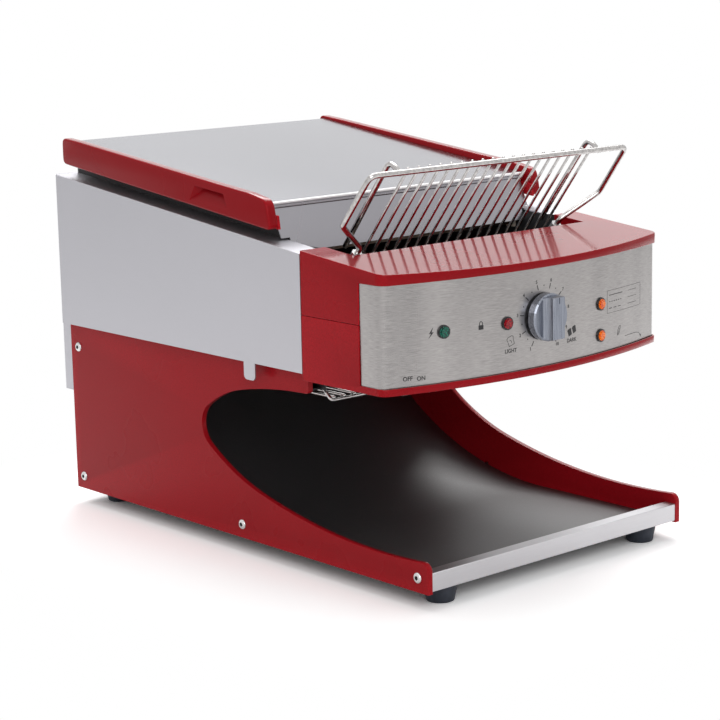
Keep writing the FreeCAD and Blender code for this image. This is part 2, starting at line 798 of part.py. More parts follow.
# Pilot lamps: a black bezel each, and a coloured lens that stands square to the bow.
S.add(bezel_radius=7.0, bezel_height=1.6, lens_radius=5.5, lens_height=2.4, lamp_depth=12.0)
S.add(dome_radius=4.2, dome_height=1.2)


def on_bow(x):
    """The outward direction of the bow at x, and the depth of its face there."""
    x = dim(x)
    deep = root(S.fascia_bow * S.fascia_bow - x * x)
    return Vector(x.value, -deep.value, 0).normalize(), bow_centre - deep


def along(x, y, z, axis, length):
    return dim(x) + axis.x * length, dim(y) + axis.y * length, dim(z) + axis.z * length


bezels = []
lenses = {}
for colour, x, z in lamps:
    axis, y = on_bow(x)
    flange = rod(x, y, z, S.bezel_height, S.bezel_radius, axis)
    bore = rod(*along(x, y, z, axis, -1), S.bezel_height + 2, S.lens_radius, axis)
    bezels.append(cut("bezel", flange, bore))
    lens = rod(*along(x, y, z, axis, -S.lamp_depth), S.lens_height + S.lamp_depth, S.lens_radius, axis)
    dome = rod(*along(x, y, z, axis, S.lens_height), S.dome_height, S.dome_radius, axis)
    lenses.setdefault(colour, []).append(fused("lens", [lens, dome]))
grouped("lamp_bezels", bezels)
for colour in ("green", "red", "amber"):
    grouped("lens_" + colour, lenses[colour])

# Knob: a drum with a grip bar across it. The walls of the bar are scooped out and flare
# into the drum, and a notch at the top of the bar points at the dial.
S.add(drum_radius=24.5, drum_back=16.6, drum_front=6.0, drum_edge=1.4)
S.add(skirt_radius=22.0, skirt_depth=1.6, grip_half=8.5, grip_foot=12.5, grip_front=-5.4)
S.add(grip_scoop=22.0, grip_reach=21.5, grip_trim=23.6, grip_edge=0.9, notch_half=0.7)
S.add(notch_from=15.0, notch_depth=0.8, knob_bore=3.0, bore_end=8.0, shaft_end=40.0)
DRUM_SIDES = 32
body = new_body("knob")
sk = sketch(body, "XZ", S.drum_front)
flats(sk, S.knob_x, S.knob_z, S.drum_radius, DRUM_SIDES)
drum = pad(body, sk, S.drum_front - S.drum_back + S.skirt_depth)
bevelled(body, drum, S.drum_edge, lambda e: near(e.CenterOfMass.y, S.drum_front))
sk = sketch(body, "XZ", S.drum_back)
flats(sk, S.knob_x, S.knob_z, S.skirt_radius, DRUM_SIDES)
pad(body, sk, S.skirt_depth + 0.1)
sk = sketch(body, "XY", S.knob_z)
path(sk, [
    (S.knob_x - S.grip_half, S.grip_front),
    (S.knob_x + S.grip_half, S.grip_front, -S.grip_scoop),
    (S.knob_x + S.grip_foot, S.drum_front + 1),
    (S.knob_x - S.grip_foot, S.drum_front + 1, -S.grip_scoop),
])
grip = pad(body, sk, S.grip_reach * 2, both=True)
sk = sketch(body, "XZ", S.grip_front - 1)
flats(sk, S.knob_x, S.knob_z, S.grip_trim, DRUM_SIDES)
box_path(sk, S.knob_x - 40, S.knob_z - 40, S.knob_x + 40, S.knob_z + 40)
trimmed = pocket(body, sk, S.grip_front - 1 - S.drum_front)
bevelled(body, trimmed, S.grip_edge, lambda e: near(e.CenterOfMass.y, S.grip_front))
sk = sketch(body, "XZ", S.grip_front)
box_path(sk, S.knob_x - S.notch_half, S.knob_z + S.notch_from,
         S.knob_x + S.notch_half, S.knob_z + S.drum_radius)
pocket(body, sk, -S.notch_depth)
sk = sketch(body, "XZ", S.drum_back)
flats(sk, S.knob_x, S.knob_z, S.knob_bore + 0.02, 12)
pocket(body, sk, S.drum_back - S.bore_end)
back = Vector(0, 1, 0)
keep(rod(S.knob_x, S.bore_end, S.knob_z, S.shaft_end - S.bore_end, S.knob_bore, back), "knob_shaft")

# Speed control behind the fascia, with the bush that carries the knob shaft.
S.add(control_half=15.0, control_front=19.5, control_rear=44.0, control_bush=5.0)
case = block(S.knob_x - S.control_half, S.control_front, S.knob_z - S.control_half,
             S.control_half * 2, S.control_rear - S.control_front, S.control_half * 2)
bush = rod(S.knob_x, 17.4, S.knob_z, S.control_front - 17.4, S.control_bush, back)
bore = drill(S.knob_x, 17.0, S.knob_z, S.shaft_end + 0.5 - 17.0, S.knob_bore + 0.05, back)
keep(cut("speed_control", fused("control_blank", [case, bush]), bore), "speed_control")

# Power switch under the head: a flanged housing and a rocker that tilts in it.
S.add(flange_half=12.5, flange_thick=1.5, well_x=9.3, well_y=9.4, housing_top=212.0, well_top=204.0)
S.add(rocker_half=9.0, rocker_reach=7.5, rocker_face=5.4, rocker_tip=6.9, rocker_pin=1.5)
body = new_body("switch_housing")
sk = sketch(body, "XY", S.head_low)
box_path(sk, S.rocker_x - S.flange_half, S.rocker_y - S.flange_half,
         S.rocker_x + S.flange_half, S.rocker_y + S.flange_half)
pad(body, sk, -S.flange_thick)
sk = sketch(body, "XY", S.head_low)
box_path(sk, S.rocker_x - S.rocker_cut, S.rocker_y - S.rocker_cut,
         S.rocker_x + S.rocker_cut, S.rocker_y + S.rocker_cut)
pad(body, sk, S.housing_top - S.head_low)
sk = sketch(body, "XY", S.head_low - S.flange_thick)
box_path(sk, S.rocker_x - S.well_x, S.rocker_y - S.well_y, S.rocker_x + S.well_x, S.rocker_y + S.well_y)
pocket(body, sk, S.well_top - S.head_low + S.flange_thick)
sk = sketch(body, "YZ", S.rocker_x)
flats(sk, S.rocker_y, S.rocker_z, S.rocker_pin + 0.05)
pocket(body, sk, 21.2, both=True)

body = new_body("power_rocker", S.rocker_x, S.rocker_y, S.rocker_z, Rotation(Vector(1, 0, 0), -10))
sk = sketch(body, "YZ")
path(sk, [
    (-S.rocker_reach, -S.rocker_tip),
    (0, -S.rocker_face),
    (S.rocker_reach, -S.rocker_tip),
    (S.rocker_reach - 1, 0),
    (0, 3),
    (1 - S.rocker_reach, 0),
])
pad(body, sk, S.rocker_half * 2, both=True)
sk = sketch(body, "YZ")
wire_flats(sk, 0, 0, S.rocker_pin)
pad(body, sk, 21.0, both=True)

# Mode button: a short plunger that is pushed up into its cup.
S.add(button_radius=5.0, button_low=189.0, button_top=199.0, collar_radius=6.2, collar_low=194.0)
S.add(cup_bore=6.5, cup_top=207.0, cup_flange=9.0)
sleeve = rod(S.button_x, S.button_y, S.head_low, S.cup_top - S.head_low, S.button_hole, up)
flange = rod(S.button_x, S.button_y, S.head_low - 1.2, 1.2, S.cup_flange, up)
inside = rod(S.button_x, S.button_y, S.collar_low - 0.1, S.cup_top - S.collar_low - 1.0, S.cup_bore, up)
throat = rod(S.button_x, S.button_y, S.head_low - 2, 5.0, S.button_radius + 0.1, up)
cup = cut("button_cup", fused("cup_blank", [sleeve, flange]), fused("cup_hollow", [inside, throat]))
keep(cup, "button_cup")
stem = rod(S.button_x, S.button_y, S.button_low, S.button_top - S.button_low, S.button_radius, up)
collar = rod(S.button_x, S.button_y, S.collar_low, S.button_top - S.collar_low, S.collar_radius, up)
keep(fused("mode_button", [stem, collar]), "mode_button")

# Control board on two feet, with a transformer, a relay and a terminal block.
S.add(board_x=60.0, board_y=66.0, board_z=198.0, board_wide=84.0, board_tall=52.0)
S.add(board_thick=1.6, board_foot_y=62.0, board_foot_z=195.0, strip_x=-196.0, strip_y=96.0)
S.add(strip_z=195.0, strip_wide=18.0, strip_long=56.0, strip_base=6.0, terminal_step=11.0)
TERMINALS = 5
parts = [block(S.board_x, S.board_y, S.board_z, S.board_wide, S.board_thick, S.board_tall)]
for x in (S.board_x + 6, S.board_x + 70):
    parts.append(block(x, S.board_foot_y, S.board_foot_z, 8, 10, 6))
mounted = [
    (10, 12, 20, 16, 14),
    (38, 10, 14, 22, 10),
    (60, 22, 18, 12, 12),
]
for x, z, wide, tall, deep in mounted:
    rear = S.board_y + S.board_thick
    parts.append(block(S.board_x + x, rear, S.board_z + z, wide, deep, tall))
keep(fused("control_board", parts), "control_board")

# Terminal strip in the left arm of the head.
strip = [block(S.strip_x, S.strip_y, S.strip_z, S.strip_wide, S.strip_long, S.strip_base)]
for k in range(TERMINALS):
    y = S.strip_y + 2 + S.terminal_step * k
    strip.append(block(S.strip_x + 1, y, S.strip_z + S.strip_base, S.strip_wide - 2, 8, 12))
keep(fused("terminal_strip", strip), "terminal_strip")

# Slot shield: the sheet that closes the front of the chamber below the lid.
S.add(bead=1.7, shield_half=181.0, lid_half=187.7, lid_bead_z=366.0)
body = new_body("slot_shield")
sk = sketch(body, "YZ")
path(sk, [
    (S.shield_low_y, S.shield_low_z),
    (S.shield_low_y + 1.2, S.shield_low_z),
    (S.shield_top_y + 1.2, S.shield_top_z),
    (S.shield_top_y, S.shield_top_z),
])
pad(body, sk, S.shield_half * 2, both=True)
sk = sketch(body, "YZ")
path(sk, [
    (S.shield_foot_y, S.shield_foot_z),
    (S.shield_foot_y + 1.2, S.shield_foot_z),
    (S.shield_low_y + 1.2, S.shield_low_z + 0.01),
    (S.shield_low_y, S.shield_low_z + 0.01),
])
pad(body, sk, S.chassis_half * 2, both=True)
sk = sketch(body, "YZ")
flats(sk, S.shield_top_y, S.shield_top_z + 0.9, S.bead)
pad(body, sk, S.shield_half * 2, both=True)

# Lid: a brushed sheet with a rolled front bead between two red end caps.
S.add(lid_front_y=234.4, lid_front_z=367.0, lid_rear_y=580.0, lid_rear_z=411.7, lid_sheet=1.0)
S.add(cap_half=199.0, cap_front=200.3, cap_front_low=344.9, cap_front_high=352.2, cap_toe_y=221.1)
S.add(cap_toe_z=341.0, cap_heel_y=589.7, cap_heel_z=385.8, cap_rear=590.9, cap_round=18.0)
S.add(cap_round_z=396.9, cap_top_y=570.55, cap_top_z=414.75, cap_nose_y=211.8, cap_nose_z=367.5)
S.add(cap_nose_radius=22.0, cap_wall=2.0, cap_step=3.0, cap_step_height=14.0)
S.add(recess_y=317.0, recess_z=376.0, recess_half=20.5, recess_waist=25.0, recess_low=34.0)
S.add(recess_upright=8.0, recess_height=26.0, recess_depth=9.0)
body = new_body("lid_sheet")
sk = sketch(body, "YZ")
path(sk, [
    (S.lid_front_y, S.lid_front_z - S.lid_sheet),
    (S.lid_rear_y, S.lid_rear_z - S.lid_sheet),
    (S.lid_rear_y, S.lid_rear_z),
    (S.lid_front_y, S.lid_front_z),
])
pad(body, sk, S.lid_half * 2, both=True)
sk = sketch(body, "YZ")
flats(sk, S.shield_top_y, S.lid_bead_z, S.bead)
pad(body, sk, S.lid_half * 2, both=True)
cap_outline = [
    (S.cap_front + 0.3, S.cap_front_low),
    (S.cap_toe_y, S.cap_toe_z),
    (S.cap_rear, S.cap_heel_z),
    (S.cap_rear, S.cap_round_z, S.cap_round),
    (S.cap_top_y, S.cap_top_z),
    (S.cap_nose_y, S.cap_nose_z, S.cap_nose_radius),
    (S.cap_front, S.cap_front_high),
]
S.add(pin_hole=8.0, recess_clear=0.5)
lid_slope = math.atan2(
    S.lid_rear_z.value - S.lid_front_z.value,
    S.lid_rear_y.value - S.lid_front_y.value,
)


def scooped(body, sign, start, end, half, half_low, depth_low):
    """Part of the finger recess in a lid cap, between two levels below its upper edge."""
    down = Vector(0, math.sin(lid_slope), -math.cos(lid_slope))
    lengthwise = Vector(0, math.cos(lid_slope), math.sin(lid_slope)) * sign
    f = body.newObject("PartDesign::SubtractiveWedge", "scoop")
    for prop, number in (
        ("Xmin", -half), ("Xmax", half), ("X2min", -half_low), ("X2max", half_low),
        ("Ymin", start), ("Ymax", end), ("Zmin", -S.recess_clear), ("Zmax", S.recess_depth),
        ("Z2min", -S.recess_clear), ("Z2max", depth_low),
    ):
        bind(f, prop, number)
    corner = Vector(S.cap_half.value * sign, S.recess_y.value, S.recess_z.value)
    f.Placement = Placement(corner, Rotation(lengthwise, down, lengthwise.cross(down), "XYZ"))
    for axis, number in zip("xyz", (S.cap_half * sign, S.recess_y, S.recess_z)):
        f.setExpression(".Placement.Base." + axis, number.text)
    cuts.append(f)


for side, sign in SIDES:
    body = new_body("lid_cap_" + side)
    sk = sketch(body, "YZ", S.lid_half * sign)
    path(sk, cap_outline)
    blank = pad(body, sk, (S.cap_half - S.lid_half) * sign)
    outer = S.cap_half.value
    bevelled(body, blank, 1.5, lambda e: near(abs(e.CenterOfMass.x), outer))
    sk = sketch(body, "YZ", S.lid_half * sign)
    path(sk, [
        (S.cap_front + 0.3, S.cap_front_low),
        (S.cap_toe_y, S.cap_toe_z),
        (S.cap_rear, S.cap_heel_z),
        (S.cap_rear, S.cap_heel_z + S.cap_step_height),
        (S.cap_toe_y, S.cap_toe_z + S.cap_step_height),
        (S.cap_front + 0.1, S.cap_front_low + S.cap_step_height),
    ])
    pad(body, sk, S.cap_step * -sign)
    sk = sketch(body, "YZ", (S.lid_half - S.cap_step) * sign)
    path(sk, [
        (S.cap_toe_y + 1, S.cap_toe_z + 4),
        (280, S.cap_toe_z + 11.0),
        (280, S.cap_nose_z + 4.5),
        (S.cap_nose_y + 5, S.cap_nose_z - 4),
        (S.cap_front + 5, S.cap_front_high - 2),
    ])
    path(sk, [
        (358, S.cap_toe_z + 20.5),
        (S.pin_y - 18, S.cap_heel_z - 1),
        (S.pin_y - 18, S.cap_top_z - 5),
        (358, S.cap_nose_z + 14.5),
    ])
    pocket(body, sk, (S.cap_half - S.lid_half + S.cap_step - S.cap_wall) * sign)
    scooped(body, sign, 0, S.recess_upright, S.recess_half, S.recess_waist, S.recess_depth)
    scooped(body, sign, S.recess_upright, S.recess_height, S.recess_waist, S.recess_low, 0)
    sk = sketch(body, "YZ", (S.lid_half - S.cap_step) * sign)
    flats(sk, S.pin_y, S.pin_z, S.pin_radius + 0.08, 12)
    pocket(body, sk, S.pin_hole * sign)

# Lid pins, pressed into the chassis sides.
S.add(pin_length=23.0)
pins = []
for side, sign in SIDES:
    axis = Vector(sign, 0, 0)
    stem = rod((S.chassis_half - 1.5) * sign, S.pin_y, S.pin_z, S.pin_length, S.pin_radius, axis)
    head = rod((S.chassis_half - 2.5) * sign, S.pin_y, S.pin_z, 2.5, 5.0, axis)
    pins.append(fused("pin", [stem, head]))
grouped("lid_pins", pins)

# Feed rack: a bent wire frame with nineteen thin wires and two guide loops. It lies on
# its own sloping plane, local x across, local y down the slope, local z to the bread.
S.add(rail_y=76.9, rail_z=405.2, rack_rod=3.0, rail_half=185.5, bend_half=187.5, bend_at=65.9)
S.add(leg_half=146.2, leg_from=100.4, leg_end=138.0, rack_corner=7.0, thin=1.5, pitch=14.8)
S.add(thin_first=-4.0, thin_end=131.0, brace_at=98.0, guide_half=144.0, guide_end=118.0)
S.add(guide_rise=20.0, guide_run=12.0, slope_angle=-52.4, weld=0.3)
thin_level = S.rack_rod + S.thin - S.weld
THIN_WIRES = 19
slope = Rotation(Vector(1, 0, 0), S.slope_angle.value)
body = new_body("feed_rack", 0, S.rail_y, S.rail_z, slope)


def square(sk, u, v, radius):
    """The plain section of the thin wires, of which there are many."""
    flats(sk, u, v, radius, 4)


def swept(body, centre_line, section_plane, section_at, u, v, radius, draw=wire_flats):
    """A wire swept along an open path."""
    section = sketch(body, section_plane, section_at)
    draw(section, u, v, radius)
    wire = body.newObject("PartDesign::AdditivePipe", "wire")
    wire.Profile = section
    wire.Spine = centre_line
    wire.Transition = "Right corner"
    return wire


sk = sketch(body, "XZ", S.thin_first)
first_x = -S.pitch * ((THIN_WIRES - 1) / 2)
flats(sk, first_x, thin_level, S.thin, 4)
thin = pad(body, sk, -(S.thin_end - S.thin_first))
repeated(body, thin, "X", S.pitch, THIN_WIRES)
sk = sketch(body, "YZ")
flats(sk, S.brace_at, 1.0, 2.0, 6)
pad(body, sk, S.leg_half * 2, both=True)
frame = sketch(body, "XY")
c = S.rack_corner
path(frame, [
    (0, 0),
    (S.rail_half - c, 0),
    (S.rail_half - c * 0.27, c * 0.27),
    (S.rail_half, c),
    (S.bend_half, S.bend_at - 4),
    (S.bend_half - 3.5, S.bend_at + 4.5),
    (S.leg_half + 4, S.leg_from - 4),
    (S.leg_half, S.leg_from + 2.5),
    (S.leg_half, S.leg_end),
], closed=False)
half_frame = swept(body, frame, "YZ", 0, 0, 0, S.rack_rod)
mirrored(body, [half_frame])
loop = sketch(body, "YZ", S.guide_half)
bend = []
for step in range(4):
    angle = math.radians(30 * step)
    bend.append((
        S.guide_run * (1 - math.cos(angle)),
        S.guide_rise - S.guide_run * (1 - math.sin(angle)),
    ))
path(loop, [(0, 0)] + bend + [(S.guide_end, S.guide_rise)], closed=False)
loop_wire = swept(body, loop, "XY", 0, S.guide_half, 0, S.rack_rod - 0.1)
mirrored(body, [loop_wire])

# Guides for the rack's two legs, fixed to the side walls of the slot.
S.add(tube_outer=5.5, tube_play=0.1, tube_from=108.0, tube_end=134.0, arm_from=116.0)
for side, sign in SIDES:
    body = new_body("rack_guide_" + side, 0, S.rail_y, S.rail_z, slope)
    sk = sketch(body, "XZ", S.tube_from)
    flats(sk, S.leg_half * sign, 0, S.tube_outer)
    pad(body, sk, -(S.tube_end - S.tube_from))
    sk = sketch(body, "YZ", (S.leg_half + 3.6) * sign)
    box_path(sk, S.arm_from, -2.5, S.tube_end, 2.5)
    pad(body, sk, (S.slot_half_width - S.leg_half - 3.6) * sign)
    sk = sketch(body, "XZ", S.tube_from)
    flats(sk, S.leg_half * sign, 0, S.rack_rod + S.tube_play)
    pocket(body, sk, -(S.tube_end - S.tube_from))

# Bed grid: fixed wires that carry on from the feed rack and turn level over the rods.
S.add(bed_z=261.0, bed_start=135.0, bed_rear=455.0, bed_cross=2.0, bed_bend=25.0)
S.add(slope_sine=0.79229, slope_cosine=0.61015)
lean_y = S.rail_y + S.slope_sine * thin_level
lean_z = S.rail_z + S.slope_cosine * thin_level
start_y = lean_y + S.slope_cosine * S.bed_start
start_z = lean_z - S.slope_sine * S.bed_start
meet = (lean_z - S.bed_z) / S.slope_sine
meet_y = lean_y + S.slope_cosine * meet
trim = S.bed_bend * (1 - S.slope_cosine) / S.slope_sine
body = new_body("bed_grid")
line = sketch(body, "YZ", first_x)
path(line, [
    (S.bed_rear, S.bed_z),
    (meet_y + trim, S.bed_z),
    (meet_y - trim * S.slope_cosine, S.bed_z + trim * S.slope_sine),
    (start_y, start_z),
], closed=False)
wire = swept(body, line, "XZ", S.bed_rear, first_x, S.bed_z, S.thin, square)
repeated(body, wire, "X", S.pitch, THIN_WIRES)
cross_at = S.bed_start + 17
sk = sketch(body, "YZ")
flats(sk, S.bed_rear - 4, S.bed_z - S.thin - S.bed_cross + 0.2, S.bed_cross, 6)
flats(sk, S.rail_y + S.slope_cosine * cross_at + S.slope_sine * 1.2,
      S.rail_z - S.slope_sine * cross_at + S.slope_cosine * 1.2, S.bed_cross, 6)
pad(body, sk, S.chassis_half * 2, both=True)

# Guard grid below the chamber, hung from two cross wires. The front one turns up and
# back at its ends, the rear one straight up.
S.add(guard_z=171.1, guard_front=160.5, guard_rear=400.0, guard_pitch=13.8, guard_half=165.6)
S.add(hook_top=191.0, hook_lean=25.4, guard_cross=162.8, guard_last=392.0)
GUARD_WIRES = 25
body = new_body("guard_grid")
sk = sketch(body, "XZ", S.guard_front)
flats(sk, -S.guard_half, S.guard_z, S.thin, 4)
wire = pad(body, sk, -(S.guard_rear - S.guard_front))
repeated(body, wire, "X", S.guard_pitch, GUARD_WIRES)
hook_x = S.chassis_half - S.bed_cross
cross_z = S.guard_z - S.thin - S.bed_cross + 0.2
sk = sketch(body, "YZ")
for y in (S.guard_cross, S.guard_last):
    flats(sk, y, cross_z, S.bed_cross, 6)
pad(body, sk, hook_x * 2, both=True)
for sign in (-1, 1):
    sk = sketch(body, "YZ", (hook_x - S.bed_cross) * sign)
    for y, reach in ((S.guard_cross, S.hook_lean), (S.guard_last, 0)):
        path(sk, [
            (y - S.bed_cross, cross_z),
            (y + S.bed_cross, cross_z),
            (y + S.bed_cross + reach, S.hook_top),
            (y - S.bed_cross + reach, S.hook_top),
        ])
    pad(body, sk, S.bed_cross * 2 * sign)

# Walking grid: the moving wires between the bed wires, on two side bars with big rings.
S.add(walk_z=251.5, walk_front=210.0, walk_rear=412.0, walk_low=236.5, walk_rod=2.5)
S.add(throw=9.0, eccentric=16.0, ring_outer=20.8, bar_x=156.5, bar_thick=3.0)
WALK_WIRES = 18
ECCENTRIC_SIDES = 16
ring_z = S.shaft_z - S.throw
body = new_body("walking_grid")
walk_x = first_x + S.pitch / 2
line = sketch(body, "YZ", walk_x)
path(line, [
    (S.walk_front, S.walk_low),
    (S.walk_front, S.walk_z),
    (S.walk_rear, S.walk_z),
    (S.walk_rear, S.walk_low),
], closed=False)
wire = swept(body, line, "XY", S.walk_low, walk_x, S.walk_front, S.thin, square)
repeated(body, wire, "X", S.pitch, WALK_WIRES)
sk = sketch(body, "YZ")
for y in (S.walk_front, S.walk_rear):
    flats(sk, y, S.walk_low, S.walk_rod, 6)
pad(body, sk, S.bar_x * 2 + 1, both=True)
for side, sign in SIDES:
    sk = sketch(body, "YZ", S.bar_x * sign)
    for y in (S.shaft_y, rear_shaft_y):
        flats(sk, y, ring_z, S.ring_outer, 12)
        pad(body, sk, S.bar_thick * sign)
        sk = sketch(body, "YZ", S.bar_x * sign)
    box_path(sk, S.shaft_y, ring_z - 8, rear_shaft_y, ring_z + 3)
    pad(body, sk, S.bar_thick * sign)
    for y in (S.walk_front, S.walk_rear):
        sk = sketch(body, "YZ", S.bar_x * sign)
        box_path(sk, y - 5, ring_z, y + 5, S.walk_low + 4)
        pad(body, sk, S.bar_thick * sign)
    sk = sketch(body, "YZ", S.bar_x * sign)
    for y in (S.shaft_y, rear_shaft_y):
        flats(sk, y, ring_z, S.eccentric + 0.05, ECCENTRIC_SIDES)
    pocket(body, sk, S.bar_thick * sign)

# Eccentric shafts, front and rear, and the flanged bushes they turn in.
S.add(shaft_radius=5.0, shaft_left=-175.0, shaft_right=179.5, bush_play=0.05, bush_flange=11.0)
for name, y in (("front_shaft", S.shaft_y), ("rear_shaft", rear_shaft_y)):
    across = Vector(1, 0, 0)
    pieces = [rod(S.shaft_left, y, S.shaft_z, S.shaft_right - S.shaft_left, S.shaft_radius, across)]
    for x in (-S.bar_x - S.bar_thick - 0.5, S.bar_x - 0.5):
        pieces.append(rod(x, y, ring_z, S.bar_thick + 1, S.eccentric, across, ECCENTRIC_SIDES))
    keep(fused(name, pieces), name)
bushes = []
for side, sign in SIDES:
    axis = Vector(sign, 0, 0)
    for y in (S.shaft_y, rear_shaft_y):
        inner_end = (S.chassis_half - 1.5) * sign
        sleeve = rod(inner_end, y, S.shaft_z, S.chassis_sheet + 1.8, S.bush_radius, axis, 8)
        rim = rod((S.chassis_half - 1.5) * sign, y, S.shaft_z, 1.5, S.bush_flange, axis)
        bore = drill((S.chassis_half - 3) * sign, y, S.shaft_z, 8.0, S.shaft_radius + S.bush_play, axis)
        bushes.append(cut("bush", fused("bush_blank", [sleeve, rim]), bore))
grouped("shaft_bushes", bushes)

# Spur gears of the drive. The flanks follow the involute of the base circle.
S.add(module=2.0, wheel_teeth=37, pinion_teeth=18, gear_x=174.2, gear_width=5.3)
S.add(tooth_play=0.16, pressure=20.0, pinion_bore=4.0, crank=10.0, crank_pin=3.0, pin_end=185.5)
BORE_SIDES = 12


def from_sheet(name):
    return float(S.table.get(name))


def gear(teeth, bore, first_angle):
    """A spur gear in the YZ plane, with one tooth centred on the first angle."""
    module = from_sheet("module")
    pitch_radius = module * teeth / 2
    press = math.radians(from_sheet("pressure"))
    base = pitch_radius * math.cos(press)
    tip = pitch_radius + module
    foot = pitch_radius - 1.25 * module
    half = (math.pi * module / 2 - from_sheet("tooth_play")) / 2 / pitch_radius
    half += math.tan(press) - press
    points = []
    for k in range(teeth):
        middle = first_angle + 2 * math.pi * k / teeth
        flank = []
        for step in range(3):
            radius = max(base, foot) + (tip - max(base, foot)) * step / 2
            roll = math.sqrt(max((radius / base) ** 2 - 1, 0))
            flank.append((radius, half - (roll - math.atan(roll))))
        if base - foot > module / 4:
            flank.insert(0, (foot, flank[0][1]))
        else:
            flank[0] = (foot, flank[0][1])
        for radius, angle in flank:
            points.append((radius, middle - angle))
        for radius, angle in reversed(flank):
            points.append((radius, middle + angle))
    reach = bore / math.cos(math.pi / BORE_SIDES)
    hole = [(reach, 2 * math.pi * k / BORE_SIDES) for k in range(BORE_SIDES)]
    outlines = []
    for corners in (points, hole):
        ends = [Vector(0, r * math.cos(a), r * math.sin(a)) for r, a in corners]
        outlines.append(Part.makePolygon(ends + ends[:1]))
    return Part.Face(outlines, "Part::FaceMakerBullseye").extrude(Vector(from_sheet("gear_width"), 0, 0))


def shaped(name, shape, x, y, z):
    piece = doc.addObject("Part::Feature", name)
    piece.Shape = shape
    return place(piece, x, y, z)


across = Vector(1, 0, 0)
wheel_shape = gear(int(from_sheet("wheel_teeth")), from_sheet("shaft_radius"), math.pi)
wheel = shaped("wheel_blank", wheel_shape, S.gear_x, S.shaft_y, S.shaft_z)
pin = rod(S.gear_x + 1, S.shaft_y - S.crank, S.shaft_z, S.pin_end - S.gear_x - 1, S.crank_pin, across)
keep(fused("drive_gear", [wheel, pin]), "drive_gear")
pinion_teeth = int(from_sheet("pinion_teeth"))
pinion_shape = gear(pinion_teeth, from_sheet("pinion_bore"), math.pi / pinion_teeth)
keep(shaped("pinion", pinion_shape, S.gear_x, S.motor_y, S.shaft_z), "pinion")
S.add(spindle_x=162.0)
spindle_long = S.gear_x + S.gear_width - S.spindle_x
keep(rod(S.spindle_x, S.motor_y, S.shaft_z, spindle_long, S.pinion_bore, across), "motor_shaft")

# Rear crank disc and the coupling rod that turns the rear shaft with the front one.
S.add(disc_radius=16.0, rod_x=181.2, rod_thick=2.6, eye_radius=7.5, rod_half=4.0, eye_play=0.06)
disc = rod(S.gear_x, rear_shaft_y, S.shaft_z, S.gear_width, S.disc_radius, across, 20)
pin = rod(S.gear_x + 1, rear_shaft_y - S.crank, S.shaft_z, S.pin_end - S.gear_x - 1, S.crank_pin, across)
bore = drill(S.gear_x - 1, rear_shaft_y, S.shaft_z, 8.0, S.shaft_radius, across)
keep(cut("rear_crank", fused("disc_blank", [disc, pin]), bore), "rear_crank")
body = new_body("coupling_rod")
sk = sketch(body, "YZ", S.rod_x)
box_path(sk, S.shaft_y - S.crank, S.shaft_z - S.rod_half, rear_shaft_y - S.crank, S.shaft_z + S.rod_half)
pad(body, sk, S.rod_thick)
for y in (S.shaft_y - S.crank, rear_shaft_y - S.crank):
    sk = sketch(body, "YZ", S.rod_x)
    flats(sk, y, S.shaft_z, S.eye_radius, 12)
    pad(body, sk, S.rod_thick)
sk = sketch(body, "YZ", S.rod_x)
for y in (S.shaft_y - S.crank, rear_shaft_y - S.crank):
    flats(sk, y, S.shaft_z, S.crank_pin + S.eye_play, 12)
pocket(body, sk, S.rod_thick)

# Gear motor on the inside of the right chassis side: a gear case, a can and a rear cap.
S.add(motor_x=135.0, motor_front=130.0, motor_deep=40.0, motor_floor=200.0, motor_tall=44.0)
S.add(can_radius=18.0, can_x=76.0, end_cap=7.0, end_cap_long=6.0, spindle_from=161.5)
wide = S.chassis_half - S.motor_x
case = block(S.motor_x, S.motor_front, S.motor_floor, wide, S.motor_deep, S.motor_tall)
can = rod(S.can_x, S.motor_y, S.shaft_z, S.motor_x - S.can_x, S.can_radius, across, 20)
cap = rod(S.can_x - S.end_cap_long, S.motor_y, S.shaft_z, S.end_cap_long, S.end_cap, across)
bore = drill(S.spindle_from, S.motor_y, S.shaft_z, 10.0, S.pinion_bore + 0.05, across)
keep(cut("gear_motor", fused("motor_blank", [case, can, cap]), bore), "gear_motor")

# Heating rods below the bed and above it, held at both ends in ceramic blocks.
S.add(heat_radius=3.5, ceramic_start=167.0, ceramic_end=173.2)
rod_rows = (
    ("lower_heating_rods", low_rods, S.low_rods_z),
    ("upper_heating_rods", high_rods, S.high_rods_z),
)
for name, row, z in rod_rows:
    bars = [rod(-S.ceramic_start, y, z, S.ceramic_start * 2, S.heat_radius, across, 8) for y in row]
    grouped(name, bars)
ceramics = []
for side, sign in SIDES:
    start = S.ceramic_start if sign > 0 else -S.ceramic_end
    thick = S.ceramic_end - S.ceramic_start
    wide = S.rod_hole * 2
    for name, row, z in rod_rows:
        for y in row:
            ceramics.append(block(start, y - S.rod_hole, z - S.rod_hole, thick, wide, wide))
grouped("ceramic_blocks", ceramics)

# Upper reflector under the lid, and the round ties between the chassis sides.
S.add(mirror_front=240.0, mirror_front_z=336.0, mirror_rear=598.0, mirror_rear_z=376.8)
body = new_body("upper_reflector")
sk = sketch(body, "YZ")
path(sk, [
    (S.mirror_front, S.mirror_front_z),
    (S.mirror_rear, S.mirror_rear_z),
    (S.mirror_rear, S.mirror_rear_z - 14),
    (S.mirror_rear + S.sheet, S.mirror_rear_z - 14),
    (S.mirror_rear + S.sheet, S.mirror_rear_z + S.sheet),
    (S.mirror_front, S.mirror_front_z + S.sheet),
])
pad(body, sk, S.chassis_half * 2, both=True)
S.add(tie_radius=4.0)
ties = [rod(-S.chassis_half, y, z, S.chassis_half * 2, S.tie_radius, across) for y, z in tie_spots]
grouped("tie_rods", ties)

